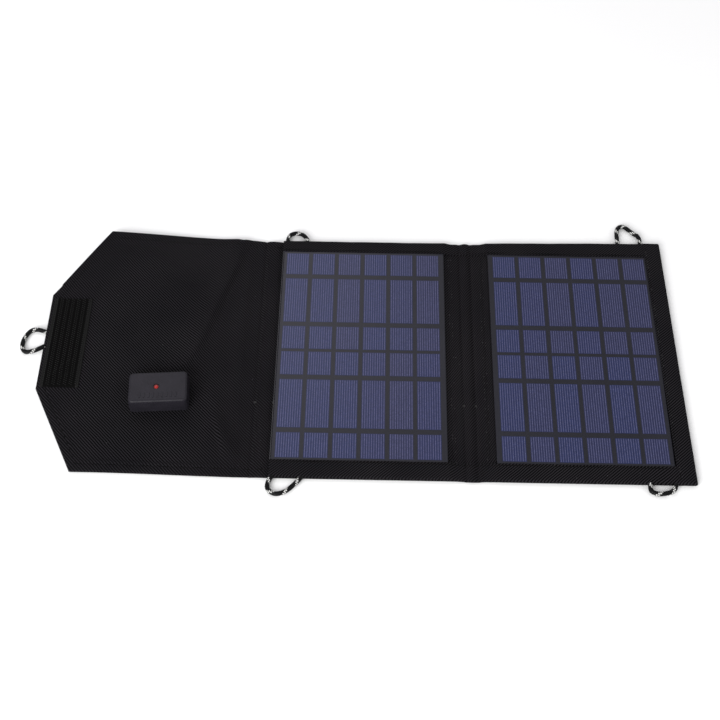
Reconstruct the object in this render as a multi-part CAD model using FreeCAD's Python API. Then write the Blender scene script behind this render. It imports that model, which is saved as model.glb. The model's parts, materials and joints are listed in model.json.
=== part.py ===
import FreeCAD, Part
import math
import os

# Folding solar charger: two fabric-backed panels, a cover flap with a hook patch, and a USB regulator box
# on the flap. Millimetres. +X runs along the open charger from the flap's tip to panel 2, +Y is the rear
# edge, +Z is up. The origin is the centre of the open charger's footprint, on the surface it lies on.

Vector = FreeCAD.Vector
UP = Vector(0, 0, 1)

# ---- driving dimensions -------------------------------------------------------------------------------
HALF_LENGTH = 245.7            # half of the open charger's length along X
HALF_WIDTH = 111.0             # half of its width along Y

LAMINATE_X = 130.0             # solar laminate, across
LAMINATE_Y = 200.0             # solar laminate, front to back
LAMINATE_PITCH = 166.1         # from one laminate to the other
PANEL_1_LAMINATE_LEFT = -62.9
LAMINATE_MID_Y = 0.4

CELL_COLUMNS = 6
CELL_ROWS = 2
CELL_GRID_X = 122.9            # from the first cell's left edge to the last one's right edge
CELL_GRID_Y = 192.0
CELL_GAP = 3.2                 # dark gap between two columns of cells
CELL_ROW_GAP = 2.7             # dark gap between the two rows of cells
CELL_MARGINS = {"panel_1_": 2.7, "panel_2_": 4.0}    # laminate left of the first column
CELL_MID_Y = 0.8               # middle of the gap between the rows
RIBBON_WIDTH = 4.3             # dark ribbon that crosses a cell
RIBBON_AT = (0.25, 0.75)       # where the two ribbons cross, as parts of the cell's length
PAD_HOLE_RADIUS = 0.6          # holes for the solder pads' wires in the backing board
PAD_SPACING = 6.0

FABRIC = 0.6                   # one layer of coated twill
BOARD_TOP = 2.0                # top of the plastic stiffener, whose underside lies on the back cover
CLOTH_TOP = 2.6                # top of the front cloth where a board backs it
LAMINATE_BOARD_TOP = 3.6
CELL_TOP = 3.85
RIBBON_TOP = 3.95
FILM_TOP = 4.2
BAND_TOP = 4.8                 # hem bands that overlap the laminate
SPINE_TOP = 2.0                # cloth of the spines and of the flap
SPINE_CLOTH = 0.5              # front cloth of a spine

FOLD_LINES = (80.3, 89.2)      # the two creases between the panels
FLAP_LINES = (-77.8, -103.3)   # the two creases between panel 1 and the flap
HINGE_GAP = 0.15               # half of the gap between two bodies at a crease

BAND_INNER_REAR = 98.7         # inner edge of the rear hem band
BAND_INNER_FRONT = -97.0       # inner edge of the front hem band
SEAM_X = -63.9                 # left end of the hem bands, at panel 1's seam
SIDE_BAND_X = 232.6            # inner edge of panel 2's side band
SPINE_BAND_TOP = 3.2           # hem bands beside the creases, where no laminate lifts them
SPINE_MARGIN = 1.2             # how far the lifted cloth runs past a laminate's edge
BOARD_MARGIN = 1.0             # how far the stiffener runs past the laminate

FLAP_CORNER_REAR_X = -205.6    # where the flap's slanted corners begin
FLAP_CORNER_FRONT_X = -209.9
FLAP_TIP_REAR = 51.0
FLAP_TIP_FRONT = -37.6
HOOK_PATCH = (-243.1, -213.2, -36.3, 47.7)
HOOK_PATCH_TOP = 3.6
LOOP_PATCH = (105.5, 140.5, -40.0, 50.0)
LOOP_PATCH_THICK = 1.0

BOX_CENTRE = (-150.2, -42.1)   # regulator box on the flap
BOX_TURN = 3.8                 # degrees, as it is fastened a little askew
BOX_X = 45.0
BOX_Y = 27.6
BOX_HEIGHT = 13.0
BOX_SPLIT = 4.4                # height of the base shell
BOX_WALL = 1.6
BOX_CORNER = 3.4
BOX_EDGE = 1.9                 # rounding of the lid's top edge
BOX_LEAN = 0.6                 # how far each of the lid's walls leans in over its height
POST_X = 18.6
POST_Y = 9.9
POST_RADIUS = 2.1
SCREW_RADIUS = 0.95
SCREW_HEAD_RADIUS = 1.9
SCREW_HEAD = 0.8               # height of the countersunk head
SCREW_STOPS = 3.0              # how far below the lid's face a screw ends
PILOT_RADIUS = 1.0
PILOT_STOPS = 2.6
PCB_X = 38.0
PCB_Y = 22.0
PCB_BOTTOM = 4.0
PCB_THICK = 1.2
LED_AT = (-1.2, -0.2)          # lens centre, from the box's centre
LED_RADIUS = 2.4
LED_STANDS = 0.6               # how far the lens stands above the lid
LED_BODY = 3.0                 # depth of the lens below the lid's face
LED_LEG_RADIUS = 0.3
LED_LEG_SPACING = 2.54
RIB_COUNT = 9                  # row of short ribs on the lid
RIB_SPAN = 27.0                # from the first rib to the last
RIB_WIDTH = 1.2
RIB_Y = (-9.6, -5.6)
RIB_RISE = 0.3
USB_X = 14.0                   # standard USB-A receptacle
USB_Y = 13.1
USB_Z = 5.7
USB_SHELL = 0.3
USB_INSET = 0.5                # how far the receptacle sits back from the box's end
USB_HEEL = 3.0                 # solid block behind the tongue
USB_TONGUE_Y = 11.4
USB_TONGUE_Z = (3.1, 4.9)      # the tongue's faces above the receptacle's floor
USB_TONGUE_INSET = 1.2
CONTACT_Y = (-3.5, -1.0, 1.0, 3.5)
CONTACT_WIDTH = 1.0
CONTACT_THICK = 0.15
CONTACT_INSET = 1.8
INDUCTOR_SIZE = 7.0
INDUCTOR_HEIGHT = 3.6
INDUCTOR_CORNER = 1.2
INDUCTOR_AT = (12.5, 4.6)
CHIP = (8.5, 13.5, -6.5, -2.5)
CHIP_HEIGHT = 1.5
CAN_RADIUS = 2.0               # electrolytic capacitors
CAN_HEIGHT = 2.9
CAN_PLACES = ((0.0, 7.2), (5.2, 7.2))
PLATE_X = 45.0                 # plate inside the flap that the box is screwed to
PLATE_Y = 27.6

LEAD_Y = -46.0                 # line of the two-core lead
LEAD_RADIUS = 0.4
LEAD_SPACING = 1.0
LEAD_Z = 1.05
LEAD_CHANNEL = 3.0
LEAD_ENTRY_X = BOX_CENTRE[0] + 12.0    # where the lead turns up into the box
LEAD_BEND = 1.2
ENTRY_HOLE_RADIUS = 2.4
GROMMET_RADIUS = 2.3
GROMMET_FLANGE_RADIUS = 3.0
GROMMET_FLANGE = 0.8
GROMMET_SLOT = 2.2
JUNCTION_X = 14.0              # potting cap over a laminate's solder pads
JUNCTION_Y = 9.0
JUNCTION_BOTTOM = 1.5
DIODE_X = 4.4
DIODE_Y = 2.6
DIODE_Z = (1.7, 2.4)
PANEL_JUNCTIONS = (-45.0, 123.0)

CORD = 3.6                     # braided cord's diameter
CORD_CHANNEL = 0.1             # clearance round the cord inside a hem
CORD_ROUTES = {
    "panel_1_cord_loop_rear": [
        (-60.6, 105.5, 2.7), (-61.4, 117.0, 2.4), (-54.2, 122.2, 2.0),
        (-46.8, 117.4, 2.4), (-43.0, 105.5, 2.7)],
    "panel_1_cord_loop_front": [
        (-60.5, -105.5, 2.7), (-67.0, -117.6, 2.3), (-60.0, -127.0, 1.9),
        (-49.0, -121.4, 2.2), (-38.6, -105.5, 2.7)],
    "panel_2_cord_loop_rear": [
        (211.6, 105.5, 2.7), (210.8, 119.0, 2.4), (211.8, 131.4, 2.1), (217.8, 134.2, 1.9),
        (224.0, 126.6, 2.1), (230.9, 121.2, 2.4), (229.2, 105.5, 2.7)],
    "panel_2_cord_loop_front": [
        (217.6, -104.6, 2.7), (211.2, -115.0, 2.3), (218.2, -121.6, 2.0),
        (235.0, -115.6, 2.3), (231.6, -104.6, 2.7)],
    "flap_cord_loop": [
        (-246.9, 15.5, 1.9), (-254.6, 19.8, 1.9), (-262.4, 11.6, 1.9),
        (-263.6, -0.6, 1.9), (-257.0, -6.6, 1.9), (-246.9, -0.2, 1.9)],
}

WRITTEN = {}


# ---- helpers ------------------------------------------------------------------------------------------
def block(x0, x1, y0, y1, z0, z1):
    return Part.makeBox(x1 - x0, y1 - y0, z1 - z0, Vector(x0, y0, z0))


def prism(points, z0, z1):
    corners = [Vector(x, y, z0) for x, y in points]
    face = Part.Face(Part.makePolygon(corners + corners[:1]))
    return face.extrude(Vector(0, 0, z1 - z0))


def disc(radius, x, y, z0, z1):
    return Part.makeCylinder(radius, z1 - z0, Vector(x, y, z0), UP)


def rounded_block(size_x, size_y, z0, z1, radius):
    body = block(-size_x / 2, size_x / 2, -size_y / 2, size_y / 2, z0, z1)
    uprights = [e for e in body.Edges if abs(e.tangentAt(e.FirstParameter).z) > 0.99]
    return body.makeFillet(radius, uprights)


def export(name, shape):
    solids = shape.Solids
    if not solids or not shape.isValid():
        raise ValueError("bad shape: " + name)
    result = solids[0] if len(solids) == 1 else Part.makeCompound(solids)
    WRITTEN[name] = result
    result.exportStep("parts/" + name + ".step")


def cord_tube(points, radius):
    """A tube along straight runs joined by tangent arcs, each arc as large as its two runs allow."""
    corners = [Vector(*p) for p in points]
    edges = []
    radii = []
    start = corners[0]
    for before, corner, after in zip(corners, corners[1:], corners[2:]):
        back = (before - corner).normalize()
        ahead = (after - corner).normalize()
        turn = math.pi - back.getAngle(ahead)
        reach = 0.45 * min((before - corner).Length, (after - corner).Length)
        arc_radius = reach / math.tan(turn / 2)
        middle = corner + (back + ahead).normalize() * (arc_radius / math.cos(turn / 2) - arc_radius)
        arc_start = corner + back * reach
        arc_end = corner + ahead * reach
        edges.append(Part.LineSegment(start, arc_start).toShape())
        edges.append(Part.Arc(arc_start, middle, arc_end).toShape())
        radii.append(arc_radius)
        start = arc_end
    edges.append(Part.LineSegment(start, corners[-1]).toShape())
    path = Part.Wire(edges)
    profile = Part.Wire(Part.makeCircle(radius, corners[0], corners[1] - corners[0]))
    tube = Part.BRepOffsetAPI.MakePipeShell(path)
    tube.add(profile)
    tube.setTransitionMode(2)
    tube.build()
    tube.makeSolid()
    solid = tube.shape()
    return solid, path.Length, radii


def cord_channels(prefix):
    """The clearance that the hems leave round a panel's cord loops."""
    names = [n for n in CORD_ROUTES if n.startswith(prefix)]
    tubes = [cord_tube(CORD_ROUTES[n], CORD / 2 + CORD_CHANNEL)[0] for n in names]
    return tubes[0].multiFuse(tubes[1:])


def lead(x0, x1):
    """Both cores of the lead, along X."""
    cores = []
    for side in (-1, 1):
        base = Vector(x0, LEAD_Y + side * LEAD_SPACING / 2, LEAD_Z)
        cores.append(Part.makeCylinder(LEAD_RADIUS, x1 - x0, base, Vector(1, 0, 0)))
    return Part.makeCompound(cores)


def lead_channel(x0, x1):
    half = LEAD_CHANNEL / 2
    return block(x0, x1, LEAD_Y - half, LEAD_Y + half, FABRIC, LEAD_Z + LEAD_RADIUS + 0.05)


# ---- a panel ------------------------------------------------------------------------------------------
def cell_boxes(grid_left):
    """Every cell's edges: x0, x1, y0, y1."""
    pitch = (CELL_GRID_X + CELL_GAP) / CELL_COLUMNS
    length = (CELL_GRID_Y - CELL_ROW_GAP) / CELL_ROWS
    boxes = []
    for row in range(CELL_ROWS):
        y0 = CELL_MID_Y - CELL_GRID_Y / 2 + row * (length + CELL_ROW_GAP)
        for column in range(CELL_COLUMNS):
            x0 = grid_left + column * pitch
            boxes.append((x0, x0 + pitch - CELL_GAP, y0, y0 + length))
    return boxes


def laminate(prefix, left, junction_x):
    """Backing board, cells, ribbons and the clear film that is moulded round them."""
    right = left + LAMINATE_X
    front = LAMINATE_MID_Y - LAMINATE_Y / 2
    rear = LAMINATE_MID_Y + LAMINATE_Y / 2
    board = block(left, right, front, rear, CLOTH_TOP, LAMINATE_BOARD_TOP)
    for side in (-1, 1):
        hole_x = junction_x + side * PAD_SPACING / 2
        board = board.cut(disc(PAD_HOLE_RADIUS, hole_x, LEAD_Y, CLOTH_TOP, LAMINATE_BOARD_TOP))
    cells = []
    ribbons = []
    for x0, x1, y0, y1 in cell_boxes(left + CELL_MARGINS[prefix]):
        cells.append(block(x0, x1, y0, y1, LAMINATE_BOARD_TOP, CELL_TOP))
        for place in RIBBON_AT:
            middle = y0 + place * (y1 - y0)
            ribbons.append(block(x0, x1, middle - RIBBON_WIDTH / 2, middle + RIBBON_WIDTH / 2,
                                 CELL_TOP, RIBBON_TOP))
    film = block(left, right, front, rear, LAMINATE_BOARD_TOP, FILM_TOP)
    film = film.cut(Part.makeCompound(cells)).cut(Part.makeCompound(ribbons))
    export(prefix + "backing_board", board)
    export(prefix + "cells", Part.makeCompound(cells))
    export(prefix + "ribbons", Part.makeCompound(ribbons))
    export(prefix + "front_film", film)


def junction(prefix, x):
    """Potting cap over the laminate's solder pads, with the blocking diode inside it."""
    diode = block(x - DIODE_X / 2, x + DIODE_X / 2, LEAD_Y - DIODE_Y / 2, LEAD_Y + DIODE_Y / 2, *DIODE_Z)
    cap = junction_window(x, JUNCTION_BOTTOM, CLOTH_TOP)
    export(prefix + "junction_cap", cap.cut(diode))
    export(prefix + "diode", diode)


def junction_window(x, z0, z1):
    return block(x - JUNCTION_X / 2, x + JUNCTION_X / 2, LEAD_Y - JUNCTION_Y / 2, LEAD_Y + JUNCTION_Y / 2,
                 z0, z1)


def panel(prefix, x0, x1, left, junction_x, spine_side, band_x0, band_x1, lead_x0, lead_x1):
    """One panel's layers. spine_side is +1 or -1, the side with the crease that it folds on."""
    right = left + LAMINATE_X
    front = LAMINATE_MID_Y - LAMINATE_Y / 2
    rear = LAMINATE_MID_Y + LAMINATE_Y / 2
    channels = cord_channels(prefix)
    lead_path = lead_channel(lead_x0, lead_x1)

    back = block(x0, x1, -HALF_WIDTH, HALF_WIDTH, 0, FABRIC)
    board = block(left - BOARD_MARGIN, right + BOARD_MARGIN, front - BOARD_MARGIN, rear + BOARD_MARGIN,
                  FABRIC, BOARD_TOP)
    cloth = block(x0, x1, -HALF_WIDTH, HALF_WIDTH, FABRIC, CLOTH_TOP).cut(board)
    if spine_side > 0:
        step = block(right + SPINE_MARGIN, x1, -HALF_WIDTH, HALF_WIDTH, SPINE_TOP, CLOTH_TOP)
    else:
        step = block(x0, left - SPINE_MARGIN, -HALF_WIDTH, HALF_WIDTH, SPINE_TOP, CLOTH_TOP)
    cloth = cloth.cut(step)
    if prefix == "panel_1_":
        cloth = cloth.cut(block(x0, left - SPINE_MARGIN, -HALF_WIDTH, HALF_WIDTH, SPINE_TOP, CLOTH_TOP))
    cloth = cloth.cut(lead_path).cut(channels).cut(junction_window(junction_x, BOARD_TOP, CLOTH_TOP))
    board = board.cut(lead_path).cut(junction_window(junction_x, JUNCTION_BOTTOM, BOARD_TOP))

    stack = block(left, right, front, rear, CLOTH_TOP, FILM_TOP)
    for name, y0, y1 in (("rear_band", BAND_INNER_REAR, HALF_WIDTH),
                         ("front_band", -HALF_WIDTH, BAND_INNER_FRONT)):
        band = block(band_x0, band_x1, y0, y1, SPINE_TOP, BAND_TOP)
        if spine_side > 0:
            low = block(right + SPINE_MARGIN, band_x1, y0, y1, SPINE_BAND_TOP, BAND_TOP)
        else:
            low = block(band_x0, left - SPINE_MARGIN, y0, y1, SPINE_BAND_TOP, BAND_TOP)
        band = band.cut(low).cut(cloth).cut(board).cut(stack).cut(channels)
        export(prefix + name, largest(band))

    if prefix == "panel_2_":
        patch = block(*LOOP_PATCH, 0, LOOP_PATCH_THICK)
        back = back.cut(patch)
        board = board.cut(patch)
        export("panel_2_loop_patch", patch)
        side = block(SIDE_BAND_X, x1, -HALF_WIDTH, HALF_WIDTH, CLOTH_TOP, BAND_TOP).cut(stack)
        bands = block(x0, SIDE_BAND_X, -HALF_WIDTH, HALF_WIDTH, 0, BAND_TOP)
        export("panel_2_side_band", largest(side.cut(bands).cut(channels)))

    export(prefix + "back_cover", back)
    export(prefix + "stiffener", board)
    export(prefix + "front_cloth", largest(cloth))
    export(prefix + "lead", lead(lead_x0, lead_x1))
    laminate(prefix, left, junction_x)
    junction(prefix, junction_x)


def largest(shape):
    """The main solid of a cut, without slivers left beside a cord channel."""
    return max(shape.Solids, key=lambda solid: solid.Volume)


def spine(prefix, x0, x1):
    """The strip between two creases: back cloth, front cloth and the lead between them."""
    export(prefix + "back_cloth", block(x0, x1, -HALF_WIDTH, HALF_WIDTH, 0, FABRIC))
    export(prefix + "front_cloth",
           block(x0, x1, -HALF_WIDTH, HALF_WIDTH, SPINE_TOP - SPINE_CLOTH, SPINE_TOP))
    export(prefix + "lead", lead(x0, x1))


# ---- the flap -----------------------------------------------------------------------------------------
def place_box(shape):
    """Moves a shape from the regulator box's own frame, at its centre on the cloth, to the flap."""
    moved = shape.copy()
    moved.rotate(Vector(0, 0, 0), UP, BOX_TURN)
    moved.translate(Vector(BOX_CENTRE[0], BOX_CENTRE[1], SPINE_TOP))
    return moved


def post_places():
    return [(sx * POST_X, sy * POST_Y) for sx in (-1, 1) for sy in (-1, 1)]


def flap_outline():
    inner = FLAP_LINES[1] - HINGE_GAP
    return [(inner, -HALF_WIDTH), (inner, HALF_WIDTH), (FLAP_CORNER_REAR_X, HALF_WIDTH),
            (-HALF_LENGTH, FLAP_TIP_REAR), (-HALF_LENGTH, FLAP_TIP_FRONT), (FLAP_CORNER_FRONT_X, -HALF_WIDTH)]


def flap():
    """Two cloths with interlining between them, the hook patch and the plate behind the box."""
    inner = FLAP_LINES[1] - HINGE_GAP
    channel = lead_channel(LEAD_ENTRY_X - 4, inner)
    core_top = SPINE_TOP - FABRIC
    plate = rounded_block(PLATE_X, PLATE_Y, FABRIC - SPINE_TOP, core_top - SPINE_TOP, BOX_CORNER)
    plate_blank = place_box(plate)
    heads = [screw_head(x, y) for x, y in post_places()]
    plate = plate.cut(Part.makeCompound(heads))
    plate = place_box(plate).cut(channel)

    core = prism(flap_outline(), FABRIC, core_top).cut(plate_blank).cut(channel)
    front = prism(flap_outline(), core_top, SPINE_TOP)
    for x, y in post_places():
        front = front.cut(place_box(disc(PILOT_RADIUS, x, y, -1.0, 0.5)))
    front = front.cut(disc(ENTRY_HOLE_RADIUS, LEAD_ENTRY_X, LEAD_Y, core_top, SPINE_TOP))
    front = front.cut(channel)
    export("flap_back_cloth", prism(flap_outline(), 0, FABRIC))
    export("flap_interlining", largest(core))
    export("flap_front_cloth", front)
    export("flap_backing_plate", largest(plate))
    export("flap_hook_patch", block(*HOOK_PATCH, SPINE_TOP, HOOK_PATCH_TOP))
    flap_lead(inner)


def flap_lead(x_start):
    """The lead runs between the flap's cloths and turns up into the box through a grommet."""
    x_end = LEAD_ENTRY_X
    rise = PCB_BOTTOM + SPINE_TOP
    short = LEAD_BEND * (1 - math.sqrt(0.5))
    cores = []
    for side in (-1, 1):
        y = LEAD_Y + side * LEAD_SPACING / 2
        turn_start = Vector(x_end + LEAD_BEND, y, LEAD_Z)
        turn_end = Vector(x_end, y, LEAD_Z + LEAD_BEND)
        middle = Vector(x_end + short, y, LEAD_Z + short)
        path = Part.Wire([Part.LineSegment(Vector(x_start, y, LEAD_Z), turn_start).toShape(),
                          Part.Arc(turn_start, middle, turn_end).toShape(),
                          Part.LineSegment(turn_end, Vector(x_end, y, rise)).toShape()])
        profile = Part.Wire(Part.makeCircle(LEAD_RADIUS, Vector(x_start, y, LEAD_Z), Vector(-1, 0, 0)))
        cores.append(path.makePipeShell([profile], True, False))
    export("flap_lead", Part.makeCompound(cores))
    floor = SPINE_TOP + BOX_WALL
    grommet = disc(GROMMET_RADIUS, x_end, LEAD_Y, SPINE_TOP - FABRIC, floor)
    grommet = grommet.fuse(disc(GROMMET_FLANGE_RADIUS, x_end, LEAD_Y, floor, floor + GROMMET_FLANGE))
    half = GROMMET_SLOT / 2
    slot = block(x_end - half / 2, x_end + GROMMET_RADIUS + half / 2, LEAD_Y - half, LEAD_Y + half,
                 0, floor + GROMMET_FLANGE)
    export("lead_grommet", grommet.cut(slot))


def screw_head(x, y):
    return Part.makeCone(SCREW_HEAD_RADIUS, SCREW_RADIUS, SCREW_HEAD, Vector(x, y, FABRIC - SPINE_TOP), UP)


def box_base():
    """Lower shell of the regulator box: floor, walls and four screw bosses."""
    outer = rounded_block(BOX_X, BOX_Y, 0, BOX_SPLIT, BOX_CORNER)
    inner = rounded_block(BOX_X - 2 * BOX_WALL, BOX_Y - 2 * BOX_WALL, BOX_WALL, BOX_SPLIT,
                          BOX_CORNER - BOX_WALL)
    base = outer.cut(inner)
    for x, y in post_places():
        base = base.fuse(disc(POST_RADIUS, x, y, BOX_WALL, PCB_BOTTOM - 0.1))
    for x, y in post_places():
        base = base.cut(disc(PILOT_RADIUS + 0.15, x, y, 0, PCB_BOTTOM))
    base = place_box(base.removeSplitter())
    hole = disc(ENTRY_HOLE_RADIUS, LEAD_ENTRY_X, LEAD_Y, SPINE_TOP, SPINE_TOP + BOX_WALL)
    export("regulator_base", base.cut(hole))


def box_lid():
    """Upper shell: leaning walls, a rounded top, the socket's mouth, the lens hole and a row of ribs."""
    bottom = BOX_SPLIT + 0.05
    outer = leaning_shell(BOX_X, BOX_Y, bottom, BOX_HEIGHT, BOX_CORNER, BOX_LEAN)
    top_edges = [e for e in outer.Edges if e.BoundBox.ZMin > BOX_HEIGHT - 0.01]
    outer = outer.makeFillet(BOX_EDGE, top_edges)
    inner = leaning_shell(BOX_X - 2 * BOX_WALL, BOX_Y - 2 * BOX_WALL, bottom, BOX_HEIGHT - BOX_WALL,
                          BOX_CORNER - BOX_WALL, BOX_LEAN)
    lid = outer.cut(inner)
    post_bottom = PCB_BOTTOM + 0.05
    for x, y in post_places():
        lid = lid.fuse(disc(POST_RADIUS, x, y, post_bottom, BOX_HEIGHT - BOX_WALL + 0.1))
    for x, y in post_places():
        lid = lid.cut(disc(PILOT_RADIUS, x, y, post_bottom, BOX_HEIGHT - PILOT_STOPS))
    mouth_bottom = PCB_BOTTOM + PCB_THICK - 0.15
    lid = lid.cut(block(-BOX_X, -BOX_X / 2 + 4, -USB_Y / 2 - 0.2, USB_Y / 2 + 0.2,
                        mouth_bottom, mouth_bottom + USB_Z + 0.3))
    lid = lid.cut(disc(LED_RADIUS + 0.1, LED_AT[0], LED_AT[1], BOX_HEIGHT - LED_BODY, BOX_HEIGHT + 1))
    for i in range(RIB_COUNT):
        x = RIB_SPAN * (i / (RIB_COUNT - 1) - 0.5)
        rib = block(x - RIB_WIDTH / 2, x + RIB_WIDTH / 2, *RIB_Y, BOX_HEIGHT - 0.2, BOX_HEIGHT + RIB_RISE)
        lid = lid.fuse(rib)
    export("regulator_lid", place_box(lid))


def leaning_shell(size_x, size_y, z0, z1, corner, lean):
    """A rounded block whose walls lean in towards its top, lofted between two rounded outlines."""
    wires = []
    for z, shrink in ((z0, 0.0), (z1, lean)):
        outline = rounded_block(size_x - 2 * shrink, size_y - 2 * shrink, z, z + 1, corner)
        bottom = min(outline.Faces, key=lambda face: face.CenterOfMass.z)
        wires.append(bottom.OuterWire)
    return Part.makeLoft(wires, True, True)


def electronics():
    """Circuit board with its converter parts, socket and lamp, inside the regulator box."""
    top = PCB_BOTTOM + PCB_THICK
    pcb = block(-PCB_X / 2, PCB_X / 2, -PCB_Y / 2, PCB_Y / 2, PCB_BOTTOM, top)
    for x, y in post_places():
        pcb = pcb.cut(disc(POST_RADIUS + 0.3, x, y, PCB_BOTTOM, top))
    corner = POST_RADIUS + 0.3
    for sx in (-1, 1):
        for sy in (-1, 1):
            x0, x1 = sorted((sx * POST_X, sx * PCB_X))
            y0, y1 = sorted((sy * (POST_Y - corner), sy * PCB_Y))
            pcb = pcb.cut(block(x0, x1, y0, y1, PCB_BOTTOM, top))
    export("regulator_pcb", place_box(largest(pcb)))

    core = rounded_block(INDUCTOR_SIZE, INDUCTOR_SIZE, top, top + INDUCTOR_HEIGHT, INDUCTOR_CORNER)
    core.translate(Vector(*INDUCTOR_AT, 0))
    export("inductor", place_box(core))
    export("converter_chip", place_box(block(*CHIP, top, top + CHIP_HEIGHT)))
    cans = [disc(CAN_RADIUS, x, y, top, top + CAN_HEIGHT) for x, y in CAN_PLACES]
    export("capacitors", place_box(Part.makeCompound(cans)))
    usb_receptacle(top)
    status_lamp(top)
    screws = []
    for x, y in post_places():
        shank = disc(SCREW_RADIUS, x, y, FABRIC - SPINE_TOP + SCREW_HEAD, BOX_HEIGHT - SCREW_STOPS)
        screws.append(screw_head(x, y).fuse(shank))
    export("box_screws", place_box(Part.makeCompound(screws)))


def usb_receptacle(top):
    """Steel shell, plastic tongue with its heel, and four contacts under the tongue."""
    usb_left = -BOX_X / 2 + USB_INSET
    usb_right = usb_left + USB_X
    outer = block(usb_left, usb_right, -USB_Y / 2, USB_Y / 2, top, top + USB_Z)
    inner = block(usb_left, usb_right - USB_SHELL, -USB_Y / 2 + USB_SHELL, USB_Y / 2 - USB_SHELL,
                  top + USB_SHELL, top + USB_Z - USB_SHELL)
    export("usb_shell", place_box(outer.cut(inner)))
    heel_left = usb_right - USB_SHELL - USB_HEEL
    heel = block(heel_left, usb_right - USB_SHELL, -USB_Y / 2 + USB_SHELL, USB_Y / 2 - USB_SHELL,
                 top + USB_SHELL, top + USB_Z - USB_SHELL)
    tongue_low, tongue_high = (top + z for z in USB_TONGUE_Z)
    tongue = block(usb_left + USB_TONGUE_INSET, heel_left, -USB_TONGUE_Y / 2, USB_TONGUE_Y / 2,
                   tongue_low, tongue_high)
    export("usb_tongue", place_box(heel.fuse(tongue).removeSplitter()))
    contacts = [block(usb_left + CONTACT_INSET, heel_left, y - CONTACT_WIDTH / 2, y + CONTACT_WIDTH / 2,
                      tongue_low - CONTACT_THICK, tongue_low)
                for y in CONTACT_Y]
    export("usb_contacts", place_box(Part.makeCompound(contacts)))


def status_lamp(top):
    """A small lamp with a domed lens, on two legs."""
    lens_top = BOX_HEIGHT + LED_STANDS - 0.1
    lens_bottom = BOX_HEIGHT - LED_BODY
    lens = disc(LED_RADIUS, LED_AT[0], LED_AT[1], lens_bottom, lens_top)
    rim = [e for e in lens.Edges if e.BoundBox.ZMin > lens_top - 0.1]
    lens = lens.makeFillet(1.1, rim)
    legs = [disc(LED_LEG_RADIUS, LED_AT[0] + side * LED_LEG_SPACING / 2, LED_AT[1], top, lens_bottom)
            for side in (-1, 1)]
    export("status_lamp", place_box(lens.multiFuse(legs)))


def cords():
    for name, route in CORD_ROUTES.items():
        tube, length, radii = cord_tube(route, CORD / 2)
        straight = math.pi * (CORD / 2) ** 2 * length
        print(name, "length", round(length, 1), "volume ratio", round(tube.Volume / straight, 4),
              "radii", [round(r, 1) for r in radii])
        export(name, tube)


def main():
    os.makedirs("parts", exist_ok=True)
    fold_left, fold_right = FOLD_LINES
    flap_right, flap_left = FLAP_LINES
    left_1 = PANEL_1_LAMINATE_LEFT
    left_2 = left_1 + LAMINATE_PITCH
    panel("panel_1_", flap_right + HINGE_GAP, fold_left - HINGE_GAP, left_1, PANEL_JUNCTIONS[0], 1,
          SEAM_X, fold_left - HINGE_GAP, flap_right + HINGE_GAP, fold_left - HINGE_GAP)
    panel("panel_2_", fold_right + HINGE_GAP, HALF_LENGTH, left_2, PANEL_JUNCTIONS[1], -1,
          fold_right + HINGE_GAP, SIDE_BAND_X, fold_right + HINGE_GAP, PANEL_JUNCTIONS[1])
    spine("fold_spine_", fold_left + HINGE_GAP, fold_right - HINGE_GAP)
    spine("flap_spine_", flap_left + HINGE_GAP, flap_right - HINGE_GAP)
    flap()
    box_base()
    box_lid()
    electronics()
    cords()
    print(len(WRITTEN), "nodes written")


main()
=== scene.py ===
"""Looks of a folding solar charger: black twill, two laminates, a flap with a regulator box, cord loops.

Lengths are written in millimetres, in the part's own frame, and MM turns them into Blender's metres.
"""

import json
import math
import random

import bmesh
import bpy
import numpy as np
from mathutils import Matrix, Vector


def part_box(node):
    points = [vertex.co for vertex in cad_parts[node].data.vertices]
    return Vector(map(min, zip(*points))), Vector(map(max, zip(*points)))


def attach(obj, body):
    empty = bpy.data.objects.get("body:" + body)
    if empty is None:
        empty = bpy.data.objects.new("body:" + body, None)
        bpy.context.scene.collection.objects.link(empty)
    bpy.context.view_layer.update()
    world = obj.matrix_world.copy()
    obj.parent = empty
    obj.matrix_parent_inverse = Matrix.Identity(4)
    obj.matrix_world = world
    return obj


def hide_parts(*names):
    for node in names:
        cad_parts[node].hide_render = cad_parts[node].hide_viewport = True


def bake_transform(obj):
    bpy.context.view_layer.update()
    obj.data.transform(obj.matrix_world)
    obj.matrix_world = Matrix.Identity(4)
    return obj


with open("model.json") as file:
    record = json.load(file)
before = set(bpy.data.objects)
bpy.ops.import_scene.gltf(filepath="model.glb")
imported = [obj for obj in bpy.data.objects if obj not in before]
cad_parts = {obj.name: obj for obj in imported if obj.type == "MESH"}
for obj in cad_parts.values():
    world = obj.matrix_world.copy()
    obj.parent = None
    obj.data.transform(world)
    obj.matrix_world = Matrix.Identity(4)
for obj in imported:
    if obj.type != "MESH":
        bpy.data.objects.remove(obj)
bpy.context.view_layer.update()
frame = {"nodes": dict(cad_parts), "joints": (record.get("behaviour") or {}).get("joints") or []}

MM = 0.001

# ---- places, from the frame ---------------------------------------------------------------------------


def node_box(name):
    """A CAD node's lowest and highest corners, in millimetres."""
    low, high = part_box(name)
    return low / MM, high / MM


def joint_x(name):
    return next(j["pos_m"][0] for j in frame["joints"] if j["name"] == name) / MM


FOLD_LEFT = joint_x("panel_spine_fold")
FOLD_RIGHT = joint_x("panel_fold")
FLAP_RIGHT = joint_x("flap_spine_fold")
FLAP_LEFT = joint_x("flap_fold")
FOLD_MIDDLE = (FOLD_LEFT + FOLD_RIGHT) / 2
FLAP_MIDDLE = (FLAP_LEFT + FLAP_RIGHT) / 2

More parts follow.
